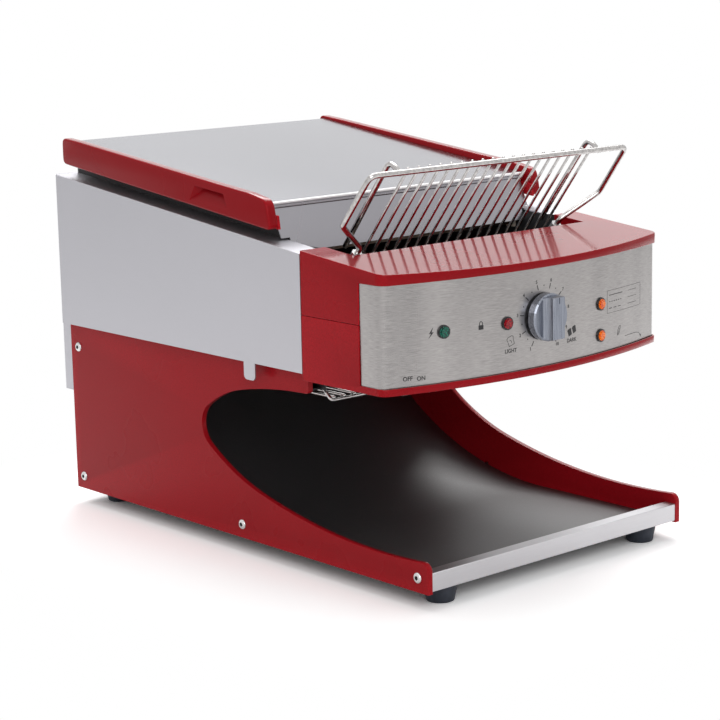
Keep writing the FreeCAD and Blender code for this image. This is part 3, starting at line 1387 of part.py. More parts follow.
# Every piece is checked and written out.
doc.recompute()
os.makedirs("parts", exist_ok=True)
wrong = []
for thing in doc.Objects:
    if "Invalid" in thing.State or "Error" in thing.State:
        wrong.append(thing.Name + " " + ",".join(thing.State))
if wrong:
    raise ValueError("not computed: " + "; ".join(wrong))
for piece in subparts:
    shape = piece.Shape
    if shape.isNull() or not shape.isValid() or not shape.Solids:
        raise ValueError("bad shape: " + piece.Label)
    shape.exportStep("parts/%s.step" % piece.Label)
low = Vector(1e9, 1e9, 1e9)
high = Vector(-1e9, -1e9, -1e9)
for piece in subparts:
    box = piece.Shape.BoundBox
    low = Vector(min(low.x, box.XMin), min(low.y, box.YMin), min(low.z, box.ZMin))
    high = Vector(max(high.x, box.XMax), max(high.y, box.YMax), max(high.z, box.ZMax))
print(len(subparts), "pieces", low, high)
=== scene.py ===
"""Looks of a countertop conveyor toaster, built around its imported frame.

Sizes in millimetres are measured from the lower front edge of the side panels, as
in the CAD part: x to the right, y to the rear, z up. place() turns them into metres
in the frame of the part.
"""
import math

import bmesh
import bpy
from mathutils import Matrix, Vector


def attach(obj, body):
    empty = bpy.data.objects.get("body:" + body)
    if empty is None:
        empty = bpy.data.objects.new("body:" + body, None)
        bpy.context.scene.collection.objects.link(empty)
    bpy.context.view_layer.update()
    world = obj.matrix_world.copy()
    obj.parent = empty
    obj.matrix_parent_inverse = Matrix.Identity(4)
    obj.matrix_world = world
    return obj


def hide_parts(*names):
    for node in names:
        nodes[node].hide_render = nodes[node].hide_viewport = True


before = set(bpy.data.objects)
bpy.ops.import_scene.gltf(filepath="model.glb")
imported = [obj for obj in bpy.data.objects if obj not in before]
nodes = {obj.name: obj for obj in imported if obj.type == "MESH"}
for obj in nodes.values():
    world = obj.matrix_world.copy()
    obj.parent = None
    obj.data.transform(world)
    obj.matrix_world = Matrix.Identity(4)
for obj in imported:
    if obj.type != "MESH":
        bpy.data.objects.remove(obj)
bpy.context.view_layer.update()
scene = bpy.context.scene
scene.view_settings.view_transform = "Standard"

# Worktop and backdrop: a pale floor that runs out into a plain white studio.
# The floor keeps the toaster's shadow; whatever looks past it sees white.
WHITE = (1.0, 1.0, 1.0, 1.0)
STRAY_STRENGTH = 0.5
FLOOR_HALF = 6.0


def add(tree, kind, values=None, links=None, **settings):
    """A shader node with its plain values, its incoming links and its settings."""
    made = tree.nodes.new("ShaderNode" + kind)
    for key, value in settings.items():
        setattr(made, key, value)
    for key, value in (values or {}).items():
        made.inputs[key].default_value = value
    for key, source in (links or {}).items():
        tree.links.new(source, made.inputs[key])
    return made


def seen_directly(tree):
    """1 for what the camera, a mirror or a clear lens looks at, 0 for stray light."""
    rays = add(tree, "LightPath")
    either = add(tree, "Math", links={0: rays.outputs["Is Camera Ray"],
                                      1: rays.outputs["Is Glossy Ray"]}, operation="MAXIMUM")
    every = add(tree, "Math", links={0: either.outputs[0],
                                     1: rays.outputs["Is Transmission Ray"]}, operation="MAXIMUM")
    return every.outputs[0]


world = bpy.data.worlds.new("studio")
scene.world = world
world.use_nodes = True
tree = world.node_tree
backdrop = tree.nodes["Background"]
strength = add(tree, "MapRange", {"To Min": STRAY_STRENGTH, "To Max": 1.0}, {"Value": seen_directly(tree)})
tree.links.new(strength.outputs[0], backdrop.inputs["Strength"])
backdrop.inputs["Color"].default_value = WHITE

floor_mesh = bpy.data.meshes.new("floor")
floor_corners = [(x * FLOOR_HALF, y * FLOOR_HALF, 0) for x, y in ((-1, -1), (1, -1), (1, 1), (-1, 1))]
floor_mesh.from_pydata(floor_corners, [], [(0, 1, 2, 3)])
floor = bpy.data.objects.new("floor", floor_mesh)
scene.collection.objects.link(floor)
paper = bpy.data.materials.new("white_paper")
paper.use_nodes = True
tree = paper.node_tree
tree.nodes.remove(tree.nodes["Principled BSDF"])
matte = add(tree, "BsdfDiffuse")
rays = add(tree, "LightPath")
# the paper is dimmer for stray light than for a look or a mirror
STRAY_WHITE, MIRRORED_WHITE, LOOK_GAIN = 0.78, 1.15, 0.62
mirrored_white = add(tree, "MapRange", {"To Min": STRAY_WHITE, "To Max": MIRRORED_WHITE},
                     {"Value": rays.outputs["Is Glossy Ray"]})
whiteness = add(tree, "Math", {1: LOOK_GAIN},
                {0: rays.outputs["Is Camera Ray"], 2: mirrored_white.outputs[0]}, operation="MULTIPLY_ADD")
tree.links.new(whiteness.outputs[0], matte.inputs["Color"])
glow = add(tree, "Emission", {"Color": WHITE, "Strength": 1.0})
# how far a point of the floor lies outside the toaster's outline; the shadow fades out over it
OUTLINE_HALF = (0.19, 0.30, 0.0)
SHADOW_WHOLE, SHADOW_GONE = 0.02, 0.22
spot = add(tree, "VectorMath", links={0: add(tree, "TexCoord").outputs["Object"]}, operation="ABSOLUTE")
past = add(tree, "VectorMath", {1: OUTLINE_HALF}, {0: spot.outputs[0]}, operation="SUBTRACT")
clear = add(tree, "VectorMath", {1: (0.0, 0.0, 0.0)}, {0: past.outputs[0]}, operation="MAXIMUM")
outside = add(tree, "VectorMath", links={0: clear.outputs[0]}, operation="LENGTH").outputs["Value"]
beyond = add(tree, "MapRange", {"From Min": SHADOW_WHOLE, "From Max": SHADOW_GONE}, {"Value": outside},
             interpolation_type="SMOOTHSTEP")
away = add(tree, "Math", links={0: beyond.outputs[0], 1: rays.outputs["Is Camera Ray"]},
           operation="MULTIPLY")
sweep = add(tree, "MixShader", links={0: away.outputs[0], 1: matte.outputs[0], 2: glow.outputs[0]})
tree.links.new(sweep.outputs[0], tree.nodes["Material Output"].inputs["Surface"])
floor_mesh.materials.append(paper)

# Camera: a long lens a little above the toaster, off its front left corner. Its place and
# turn were worked out from the straight edges of the panels, the covers and the head.
DATUM_Y = -309.28
FOOT_HEIGHT = 17.5
CAMERA_SPOT = (-1530.7, -1434.5, 624.8)
FOCAL_LENGTH = 104.83


def place(x, y, z):
    """A point given in those millimetres, in metres in the part's frame."""
    return Vector((x, y + DATUM_Y, z + FOOT_HEIGHT)) / 1000


yaw, pitch, roll = -0.7206, -0.1954, -0.02011
forward = Vector((-math.sin(yaw) * math.cos(pitch), math.cos(yaw) * math.cos(pitch), math.sin(pitch)))
level = forward.cross(Vector((0, 0, 1))).normalized()
rise = level.cross(forward)
right = math.cos(roll) * level + math.sin(roll) * rise
upward = math.cos(roll) * rise - math.sin(roll) * level
lens = bpy.data.cameras.new("camera")
lens.sensor_width = 36.0
lens.lens = FOCAL_LENGTH
lens.clip_end = 50.0
camera = bpy.data.objects.new("camera", lens)
turn = Matrix((right, upward, -forward)).transposed().to_4x4()
camera.matrix_world = Matrix.Translation(place(*CAMERA_SPOT)) @ turn
scene.collection.objects.link(camera)
scene.camera = camera

# Lamps: a broad soft box over the camera, a long one overhead and one behind the right
# corner, which the tray's enamel and the edges of the sheets pick up.


def soft_box(name, position, aim, width, height, power):
    """A flat lamp of that size in metres, in watts, turned to face its aim."""
    lamp = bpy.data.lights.new(name, "AREA")
    lamp.shape = "RECTANGLE"
    lamp.size, lamp.size_y, lamp.energy = width, height, power
    holder = bpy.data.objects.new(name, lamp)
    holder.location = position
    holder.rotation_euler = (Vector(aim) - Vector(position)).to_track_quat("-Z", "Y").to_euler()
    scene.collection.objects.link(holder)


soft_box("key_box", position=(-2.9, -3.6, 2.6), aim=(0, 0, 0.2), width=2.6, height=2.2, power=74)
soft_box("top_box", position=(0.2, 0.5, 2.6), aim=(0, 0, 0.2), width=2.4, height=1.8, power=26)
soft_box("rim_box", position=(1.6, 1.35, 2.4), aim=(0, 0, 0.1), width=2.1, height=1.3, power=40)

# Side panels, control head and lid caps: folded steel, powder-coated gloss red.
# The coat has a fine orange peel; along convex edges and folds a paler red is painted on as a highlight.


def tone(red, green, blue):
    """A colour as it looks on a screen, in the renderer's linear terms."""
    parts = []
    for value in (red, green, blue):
        value = value / 255
        parts.append(value / 12.92 if value <= 0.04045 else ((value + 0.055) / 1.055) ** 2.4)
    return (*parts, 1.0)


def new_effect(name, inputs, outputs):
    """An empty node group for an effect that several finishes share."""
    group = bpy.data.node_groups.new(name, "ShaderNodeTree")
    for label, kind, value in inputs:
        socket = group.interface.new_socket(label, in_out="INPUT", socket_type="NodeSocket" + kind)
        socket.default_value = value
    for label, kind in outputs:
        group.interface.new_socket(label, in_out="OUTPUT", socket_type="NodeSocket" + kind)
    return group, group.nodes.new("NodeGroupInput"), group.nodes.new("NodeGroupOutput")


def times(tree, value, factor):
    """A link multiplied by a link or a number."""
    if isinstance(factor, (int, float)):
        return add(tree, "Math", {1: factor}, {0: value}, operation="MULTIPLY").outputs[0]
    return add(tree, "Math", links={0: value, 1: factor}, operation="MULTIPLY").outputs[0]


def ranged(tree, value, low, high, start=0.0, end=1.0):
    """A link from start to end laid over low to high."""
    values = {"From Min": start, "From Max": end, "To Min": low, "To Max": high}
    return add(tree, "MapRange", values, {"Value": value}).outputs[0]


def mixed(tree, share, first, second):
    """Two colours mixed by a link; each is a plain colour or a link."""
    made = add(tree, "Mix", data_type="RGBA")
    tree.links.new(share, made.inputs[0])
    for number, colour in ((6, first), (7, second)):
        if isinstance(colour, tuple):
            made.inputs[number].default_value = colour
        else:
            tree.links.new(colour, made.inputs[number])
    return made.outputs[2]


def here(tree):
    """The point on the piece, in metres, which moves with the piece."""
    return add(tree, "TexCoord").outputs["Object"]


def new_finish(name, values):
    """A finish whose plain values sit on the shader's own sockets."""
    material = bpy.data.materials.new(name)
    material.use_nodes = True
    shader = material.node_tree.nodes["Principled BSDF"]
    for socket, value in values.items():
        shader.inputs[socket].default_value = value
    return material, material.node_tree, shader


def effect(tree, group, **values):
    """A shared effect set into a finish, with any of its inputs changed."""
    made = add(tree, "Group", node_tree=group)
    for key, value in values.items():
        made.inputs[key].default_value = value
    return made


def mottled(tree, shader, value, tones, gloss, tone_spread=(0.35, 0.65), gloss_spread=(0.35, 0.65)):
    """Colour between two tones and roughness between two values, both led by one link."""
    share = ranged(tree, value, 0.0, 1.0, *tone_spread)
    tree.links.new(mixed(tree, share, *tones), shader.inputs["Base Color"])
    tree.links.new(ranged(tree, value, *gloss, *gloss_spread), shader.inputs["Roughness"])


def raised(tree, shader, height, depth, coat=False):
    """A height laid on the finish as relief, as deep as depth in metres."""
    bump = add(tree, "Bump", {"Strength": 1.0, "Distance": depth}, {"Height": height})
    tree.links.new(bump.outputs[0], shader.inputs["Normal"])
    if coat:
        tree.links.new(bump.outputs[0], shader.inputs["Coat Normal"])


# orange_peel: the rolling skin that a baked coat dries to, and its faint cloudiness
orange_peel, given, out = new_effect(
    "orange_peel", [("Ripples per metre", "Float", 300.0)], [("Height", "Float"), ("Cloud", "Float")]
)
point = here(orange_peel)
ripple = add(orange_peel, "TexNoise", {"Detail": 2.0, "Roughness": 0.45},
             {"Vector": point, "Scale": given.outputs[0]})
cloud = add(orange_peel, "TexNoise", {"Scale": 9.0, "Detail": 3.0}, {"Vector": point})
orange_peel.links.new(ripple.outputs[0], out.inputs["Height"])
orange_peel.links.new(cloud.outputs[0], out.inputs["Cloud"])

# effect for convex edges and folds, a little patchy: a painted highlight that makes them paler
painted_edge_highlight, given, out = new_effect(
    "painted_edge_highlight", [("Grain per metre", "Float", 700.0)], [("Mask", "Float")]
)
geometry = add(painted_edge_highlight, "NewGeometry")
edge = ranged(painted_edge_highlight, geometry.outputs["Pointiness"], 0.0, 1.0, 0.515, 0.60)
patchy = add(painted_edge_highlight, "TexNoise", {"Detail": 3.0}, {"Vector": here(painted_edge_highlight), "Scale": given.outputs[0]})
painted_edge_highlight.links.new(times(painted_edge_highlight, edge, ranged(painted_edge_highlight, patchy.outputs[0], 0.3, 1.0, 0.35, 0.65)),
                 out.inputs["Mask"])

red, tree, shader = new_finish("red_powder_coat", {
    "IOR": 1.45, "Specular IOR Level": 0.1, "Coat Roughness": 0.07, "Coat IOR": 1.5,
})
skin = effect(tree, orange_peel, **{"Ripples per metre": 420.0})
edge_highlight_node = effect(tree, painted_edge_highlight)
mottled(tree, shader, skin.outputs["Cloud"], tones=(tone(138, 12, 20), tone(144, 14, 24)),
        gloss=(0.24, 0.32), tone_spread=(0.1, 0.9), gloss_spread=(0.1, 0.9))
body_red = shader.inputs["Base Color"].links[0].from_socket
# painted highlight: convex edges and folds are mixed towards a bright red
tree.links.new(mixed(tree, times(tree, edge_highlight_node.outputs[0], 0.7), body_red, tone(214, 34, 46)),
               shader.inputs["Base Color"])
glancing = add(tree, "LayerWeight", {"Blend": 0.5}).outputs["Facing"]
tree.links.new(ranged(tree, glancing, 0.02, 0.8, 0.42, 0.75), shader.inputs["Coat Weight"])
raised(tree, shader, skin.outputs["Height"], depth=0.00002, coat=True)
# small edges are rounded where two faces meet at more than EDGE_FROM
WELD_REACH = 0.00001
FLAT_WITHIN = math.radians(0.4)
EDGE_FROM = math.radians(40)


def finish_node(name, material, bevel=0.0, segments=2):
    """Gives a CAD node its finish, and where it is asked for, small rounded edges."""
    piece = nodes[name]
    piece.data.materials.clear()
    piece.data.materials.append(material)
    if bevel:
        weld = piece.modifiers.new("weld", "WELD")
        weld.merge_threshold = WELD_REACH
        flatten = piece.modifiers.new("flatten", "DECIMATE")
        flatten.decimate_type, flatten.angle_limit = "DISSOLVE", FLAT_WITHIN
        soften = piece.modifiers.new("soften", "BEVEL")
        soften.width, soften.segments = bevel, segments
        soften.limit_method, soften.angle_limit = "ANGLE", EDGE_FROM
        soften.harden_normals = True


for name in ("side_panel_left", "side_panel_right"):
    finish_node(name, red, bevel=0.0006)
finish_node("head_top", red, bevel=0.0012, segments=3)
finish_node("head_bottom", red, bevel=0.0005)

# Brushed stainless sheets: fascia, lid, side covers, rear cover, shield, reflector and the
# tray's front bar. The belt that grains them runs level; each sheet keeps its own direction.
sheet_grain, given, out = new_effect(
    "sheet_grain",
    [("Along and across", "Vector", (60.0, 60.0, 2400.0)), ("Banding", "Vector", (14.0, 14.0, 1.5))],
    [("Height", "Float"), ("Band", "Float")],
)
point = here(sheet_grain)
for scales, result, detail in ((given.outputs[0], "Height", 4.0), (given.outputs[1], "Band", 1.0)):
    stretched = add(sheet_grain, "VectorMath", links={0: point, 1: scales}, operation="MULTIPLY")
    marks = add(sheet_grain, "TexNoise", {"Scale": 1.0, "Detail": detail, "Roughness": 0.5},
                {"Vector": stretched.outputs[0]})
    sheet_grain.links.new(marks.outputs[0], out.inputs[result])


def brushed_sheet(name, grain_scales, bands, light, dark, rough, depth, swing=0.5):
    """Brushed stainless steel: fine grain along one direction under soft wide bands."""
    gloss_sway = 0.04
    made, tree, shader = new_finish(name, {"Metallic": 1.0})
    grain = effect(tree, sheet_grain)
    grain.inputs[0].default_value = grain_scales
    grain.inputs[1].default_value = bands
    shade = ranged(tree, grain.outputs["Height"], 0.5 - swing, 0.5 + swing, 0.2, 0.8)
    shade = add(tree, "Math", links={0: shade, 1: grain.outputs["Band"]}, operation="ADD").outputs[0]
    shade = ranged(tree, shade, 0.0, 1.0, 0.5, 1.5)
    tree.links.new(mixed(tree, shade, dark, light), shader.inputs["Base Color"])
    tree.links.new(ranged(tree, grain.outputs["Band"], rough - gloss_sway, rough + gloss_sway, 0.2, 0.8),
                   shader.inputs["Roughness"])
    raised(tree, shader, grain.outputs["Height"], depth)
    return made


cover_steel = brushed_sheet("side_cover_steel", (40.0, 40.0, 2600.0), (5.0, 5.0, 5.0),
                            tone(183, 182, 187), tone(178, 177, 182), rough=0.42, depth=0.000004, swing=0.2)
fascia_steel = brushed_sheet("fascia_steel", (120.0, 120.0, 2600.0), (16.0, 16.0, 1.5),
                             tone(186, 182, 180), tone(128, 125, 125), rough=0.29, depth=0.000012, swing=0.35)
lid_steel = brushed_sheet("lid_steel", (40.0, 2600.0, 2600.0), (4.0, 4.0, 4.0),
                          tone(160, 160, 166), tone(156, 156, 162), rough=0.17, depth=0.000002, swing=0.2)
# the lid's rolled front bead gets a near-white colour as a painted highlight, and is duller: wholly before
# the first Y, in metres, and not at all behind the second
BEAD_WHOLE, BEAD_NONE = -0.0755, -0.0735
BEAD_DULLER = 0.25
tree = lid_steel.node_tree
shader = tree.nodes["Principled BSDF"]
along = add(tree, "SeparateXYZ", links={0: here(tree)})
# painted highlight: the bead is mixed towards near-white
bead_highlight = ranged(tree, along.outputs["Y"], 1.0, 0.0, BEAD_WHOLE, BEAD_NONE)
tree.links.new(mixed(tree, bead_highlight, shader.inputs["Base Color"].links[0].from_socket, tone(236, 235, 236)),
               shader.inputs["Base Color"])
sheet_gloss = shader.inputs["Roughness"].links[0].from_socket
gloss = add(tree, "Math", links={0: times(tree, bead_highlight, BEAD_DULLER), 1: sheet_gloss}, operation="ADD")
tree.links.new(gloss.outputs[0], shader.inputs["Roughness"])
# painted shade: a darker copy of the lid's brushed steel, so the shield under the lid's front reads as shaded
shaded_shield_steel = brushed_sheet("shaded_shield_steel", (40.0, 2600.0, 2600.0), (4.0, 4.0, 4.0),
                             tone(158, 156, 161), tone(150, 148, 153), rough=0.26, depth=0.000003, swing=0.2)
bar_steel = brushed_sheet("front_bar_steel", (40.0, 2600.0, 2600.0), (12.0, 12.0, 12.0),
                          tone(206, 205, 208), tone(194, 193, 196), rough=0.34, depth=0.000006, swing=0.3)
for name, sheet in (
    ("side_cover_left", cover_steel),
    ("side_cover_right", cover_steel),
    ("rear_cover", cover_steel),
    ("fascia", fascia_steel),
    ("lid_sheet", lid_steel),
    ("slot_shield", shaded_shield_steel),
    ("upper_reflector", lid_steel),
):
    finish_node(name, sheet)
finish_node("front_bar", bar_steel, bevel=0.0005)

# Toast tray, chute, rear wall and floor pan: sheet steel in black vitreous enamel, with
# fine grey flecks and pits where the glaze was fired.
fleck, given, out = new_effect(
    "fleck", [("Flecks per metre", "Float", 900.0), ("Share", "Float", 0.12)],
    [("Mask", "Float"), ("Height", "Float")],
)
point = here(fleck)
grains = add(fleck, "TexVoronoi", {"Randomness": 1.0}, {"Vector": point, "Scale": given.outputs[0]},
             feature="F1")
chance = add(fleck, "SeparateColor", links={0: grains.outputs["Color"]})
picked = add(fleck, "Math", links={0: chance.outputs[0], 1: given.outputs[1]}, operation="LESS_THAN")
core = ranged(fleck, grains.outputs["Distance"], 1.0, 0.0, 0.25, 0.45)
pits = add(fleck, "TexNoise", {"Scale": 2600.0, "Detail": 2.0}, {"Vector": point})
fleck.links.new(times(fleck, picked.outputs[0], core), out.inputs["Mask"])
fleck.links.new(pits.outputs[0], out.inputs["Height"])

enamel, tree, shader = new_finish("black_enamel", {"IOR": 2.3})
flecks = effect(tree, fleck)
skin = effect(tree, orange_peel, **{"Ripples per metre": 160.0})
tree.links.new(mixed(tree, flecks.outputs["Mask"], tone(20, 18, 20), tone(78, 76, 80)),
               shader.inputs["Base Color"])
tree.links.new(ranged(tree, skin.outputs["Cloud"], 0.4, 0.46, 0.1, 0.9), shader.inputs["Roughness"])
raised(tree, shader, flecks.outputs["Height"], depth=0.000006)
for name in ("toast_tray", "rear_chute", "rear_wall", "floor_pan"):
    finish_node(name, enamel)

# Feet: four tapered rubber feet, moulded round and wider at the top, where they meet the
# body. Their skin is matte and dusty.
FOOT_SPOTS = [(x, y) for x in (-150.0, 150.0) for y in (23.5, 575.0)]
FOOT_PROFILE = [(12.9, 0.0), (14.1, 0.3), (14.6, 1.2), (17.6, 17.6), (17.8, 18.6), (17.8, 19.3)]
rubber, tree, shader = new_finish("foot_rubber", {"IOR": 1.45})
skin = effect(tree, orange_peel, **{"Ripples per metre": 1500.0})
dusty = add(tree, "TexNoise", {"Scale": 60.0, "Detail": 4.0}, {"Vector": here(tree)})
mottled(tree, shader, dusty.outputs[0], tones=(tone(36, 41, 52), tone(58, 62, 72)),
        gloss=(0.5, 0.7), tone_spread=(0.45, 0.7), gloss_spread=(0.4, 0.7))
raised(tree, shader, skin.outputs["Height"], depth=0.00004)


def put(name, bm, material, body, smooth=38):
    """Turns built mesh into a piece that rides on a body."""
    bmesh.ops.recalc_face_normals(bm, faces=bm.faces)
    mesh = bpy.data.meshes.new(name)
    bm.to_mesh(mesh)
    bm.free()
    mesh.shade_smooth()
    mesh.set_sharp_from_angle(angle=math.radians(smooth))
    mesh.materials.append(material)
    piece = bpy.data.objects.new(name, mesh)
    scene.collection.objects.link(piece)
    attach(piece, body)
    return piece


def rings(bm, loops):
    """Skins a row of closed loops that have the same number of corners."""
    for first, second in zip(loops, loops[1:]):
        count = len(first)
        for k in range(count):
            bm.faces.new((first[k], first[(k + 1) % count], second[(k + 1) % count], second[k]))


def turned(bm, profile, matrix, sides):
    """Turns (radius, height) pairs about the matrix's Z. A negative radius is a hexagon's half width."""
    loops = []
    for radius, height in profile:
        loop = []
        for k in range(sides):
            angle = 2 * math.pi * k / sides
            reach = radius
            if radius < 0:
                reach = -radius / math.cos((angle + math.pi / 6) % (math.pi / 3) - math.pi / 6)
            corner = Vector((reach * math.cos(angle), reach * math.sin(angle), height))
            loop.append(bm.verts.new(matrix @ corner))
        loops.append(loop)
    rings(bm, loops)
    for loop in (loops[0], loops[-1]):
        bm.faces.new(loop)


bm = bmesh.new()
for x, y in FOOT_SPOTS:
    stand = Matrix.Translation(place(x, y, -FOOT_HEIGHT)) @ Matrix.Scale(0.001, 4)
    turned(bm, FOOT_PROFILE, stand, sides=48)
feet = put("rubber_feet", bm, rubber, "housing", smooth=50)
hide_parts("feet")

# Screws of the side panels and the rear cover: steel button heads with a hexagon socket,
# turned in from outside. The pins, tie rods and rack guides are of the same steel.
PANEL_FACE, COVER_FACE = 188.3, 622.0
PANEL_SCREWS = ((14.9, 15.0), (291.4, 15.0), (592.0, 15.0), (592.0, 170.5))
COVER_SCREWS = [(x, z) for x in (-176.3, 176.3) for z in (218.0, 356.0)]
SHANK_RADIUS, HEAD_RADIUS, HEAD_RISE = 2.6, 5.4, 2.3
SOCKET_HALF, SOCKET_DEPTH = 1.9, 1.6
SCREW_PROFILE = [
    (SHANK_RADIUS, -4.0), (SHANK_RADIUS, -0.2), (HEAD_RADIUS, -0.05), (HEAD_RADIUS, 0.5),
    (HEAD_RADIUS - 0.25, 1.05), (HEAD_RADIUS - 0.8, 1.6), (HEAD_RADIUS - 1.6, 2.05),
    (HEAD_RADIUS - 2.5, HEAD_RISE), (2.5, HEAD_RISE), (2.2, HEAD_RISE - 0.1),
    (-SOCKET_HALF, HEAD_RISE - 0.3), (-SOCKET_HALF, HEAD_RISE - SOCKET_DEPTH),
]
steel, tree, shader = new_finish("fastener_steel", {"Metallic": 1.0})
scuff = add(tree, "TexNoise", {"Scale": 900.0, "Detail": 3.0}, {"Vector": here(tree)})
mottled(tree, shader, scuff.outputs[0], tones=(tone(190, 190, 192), tone(225, 224, 222)), gloss=(0.22, 0.34))
raised(tree, shader, scuff.outputs[0], depth=0.00001)
# painted shade: the bottom of the hexagon socket, darkened to stand in for the shade inside it
socket_painted_shade, tree, shader = new_finish("painted_socket_shade", {"Metallic": 0.4})
shade_mottle = add(tree, "TexNoise", {"Scale": 1200.0, "Detail": 3.0}, {"Vector": here(tree)})
mottled(tree, shader, shade_mottle.outputs[0], tones=(tone(30, 29, 30), tone(66, 64, 64)), gloss=(0.4, 0.6))


def screw_row(name, spots, scale, replaced):
    """Button-head screws at spots, each with the direction its head faces."""
    bm = bmesh.new()
    for point, facing in spots:
        matrix = Matrix.Translation(point) @ facing.to_track_quat("Z", "Y").to_matrix().to_4x4()
        matrix = matrix @ Matrix.Scale(scale / 1000, 4)
        first = len(bm.faces)
        turned(bm, SCREW_PROFILE, matrix, sides=36)
        bm.faces.ensure_lookup_table()
        for face in bm.faces[first:]:
            inner = [(matrix.inverted() @ corner.co) for corner in face.verts]
            within = max(math.hypot(c.x, c.y) for c in inner) < SOCKET_HALF * 1.2
            if within and min(c.z for c in inner) > 0:
                # the faces deep in the socket take the painted shade
                face.material_index = 1
    piece = put(name, bm, steel, "housing", smooth=50)
    piece.data.materials.append(socket_painted_shade)
    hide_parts(replaced)


spots = [(place(PANEL_FACE * side, y, z), Vector((side, 0, 0))) for side in (-1, 1) for y, z in PANEL_SCREWS]
screw_row("panel_button_screws", spots, 1.0, "panel_screws")
spots = [(place(x, COVER_FACE, z), Vector((0, 1, 0))) for x, z in COVER_SCREWS]
screw_row("cover_button_screws", spots, 0.7, "rear_cover_screws")
for name in ("lid_pins", "tie_rods", "rack_guide_left", "rack_guide_right"):
    finish_node(name, steel)

# Wire work of the rack and the grids: round stainless wire, bent cold and resistance-welded
# where it crosses.
THIN = 0.0015
CROSS_WIRE = 0.002
WIRE_PITCH = 14.8
bright, tree, shader = new_finish("bright_wire", {"Metallic": 1.0})
polish = add(tree, "TexNoise", {"Scale": 260.0, "Detail": 3.0}, {"Vector": here(tree)})
mottled(tree, shader, polish.outputs[0], tones=(tone(166, 163, 162), tone(198, 195, 193)), gloss=(0.08, 0.16))
raised(tree, shader, polish.outputs[0], depth=0.00001)
# straw: the same wire inside the chamber, tinted by heat
straw, tree, shader = new_finish("heated_wire", {"Metallic": 1.0})
tint = add(tree, "TexNoise", {"Scale": 22.0, "Detail": 3.0}, {"Vector": here(tree)})
mottled(tree, shader, tint.outputs[0], tones=(tone(176, 168, 158), tone(150, 128, 98)), gloss=(0.22, 0.36),
        tone_spread=(0.4, 0.62))
raised(tree, shader, tint.outputs[0], depth=0.00002)
# a corner flatter than this angle stays, a bend takes up to this share of its shorter run,
# and it has a facet for each such angle; both angles in radians
STRAIGHT_UNDER = 0.02
BEND_SHARE = 0.48
BEND_STEP = 0.26


def eased(points, bend):
    """The run with each corner eased by a bend of about that radius."""
    line = [points[0]]
    for before, corner, after in zip(points, points[1:], points[2:]):
        into = (corner - before).normalized()
        onward = (after - corner).normalized()
        angle = into.angle(onward)
        if angle < STRAIGHT_UNDER:
            line.append(corner)
            continue
        shorter = min((corner - before).length, (after - corner).length)
        tangent = min(bend * math.tan(angle / 2), shorter * BEND_SHARE)
        start, end = corner - into * tangent, corner + onward * tangent
        steps = max(2, round(angle / BEND_STEP))
        for k in range(steps + 1):
            t = k / steps
            line.append(start * (1 - t) ** 2 + corner * 2 * t * (1 - t) + end * t * t)
    line.append(points[-1])
    return line


def wire(bm, points, radius, bend=0.0, sides=10):
    """One round wire along a run, with its cut ends slightly rounded."""
    line = eased(points, bend) if bend else list(points)
    end_length, end_radius = 0.25 * radius, 0.62 * radius
    side = None
    loops = []
    for k, point in enumerate(line):
        along = (line[min(k + 1, len(line) - 1)] - line[max(k - 1, 0)]).normalized()
        if side is None:
            side = along.orthogonal().normalized()
        side = (side - along * side.dot(along)).normalized()
        other = along.cross(side)
        rows = [(0.0, radius)]
        if k == 0:
            rows = [(-end_length, end_radius), (0.0, radius)]
        elif k == len(line) - 1:
            rows = [(0.0, radius), (end_length, end_radius)]
        for shift, reach in rows:
            centre = point + along * shift
            angles = [2 * math.pi * j / sides for j in range(sides)]
            loops.append([
                bm.verts.new(centre + reach * (side * math.cos(angle) + other * math.sin(angle)))
                for angle in angles
            ])
    rings(bm, loops)
    bm.faces.new(loops[0])
    bm.faces.new(loops[-1])


def weld_bead(bm, point, size):
    """The small flattened bulge that a resistance weld leaves between two wires."""
    made = bmesh.ops.create_icosphere(bm, subdivisions=1, radius=size)
    bmesh.ops.translate(bm, verts=made["verts"], vec=point)


# Lid end caps: folded red steel with rounded edges, a rounded nose and a finger grip
# pressed into each outer face. A step below carries the edge of the lid.
LID_HALF = 187.7
CAP_HALF = 199.0
CAP_BEND = 0.013
CAP_EDGE = 0.0019
STEP_DEPTH, STEP_SINK = 3.0, 0.2
GRIP_OVERRUN = 0.6
GRIP_MOUTH = ((342.4, 378.6), (293.2, 373.2), (286.4, 357.4), (353.0, 361.6))
# the grip's floor: y, z and how deep it lies under the cap's face
GRIP_FLOOR = ((333.4, 376.6, 8.5), (295.4, 372.2, 8.5), (287.4, 358.4, 0.2), (351.6, 362.6, 0.2))
STEP_OUTLINE = ((217.0, 341.2), (590.4, 386.3), (590.4, 400.0), (219.0, 355.0))
# the cap's outline starts and ends in the middle of its lower edge, so that every corner is eased
CAP_OUTLINE = (
    (400, 362.9), (590.9, 385.9), (590.9, 400), (590.9, 415.6), (560, 412.6), (300, 382.6),
    (252, 377.4), (223.0, 371.6), (219.2, 356), (216.3, 340.8), (400, 362.9),
)
cap_profile = [(point.y, point.z) for point in eased([place(0, y, z) for y, z in CAP_OUTLINE], CAP_BEND)]


def solid(bm, outline, x0, x1):
    """A block from an outline (y, z) in metres between two levels of x in millimetres."""
    sides = [[bm.verts.new((x / 1000, y, z)) for y, z in outline] for x in (x0, x1)]
    rings(bm, sides)
    bm.faces.new(sides[0])
    bm.faces.new(sides[1])


def as_object(name, bm):
    """Turns built mesh into a bare object to cut with or to be cut."""
    bmesh.ops.recalc_face_normals(bm, faces=bm.faces)
    mesh = bpy.data.meshes.new(name)
    bm.to_mesh(mesh)
    bm.free()
    made = bpy.data.objects.new(name, mesh)
    scene.collection.objects.link(made)
    return made


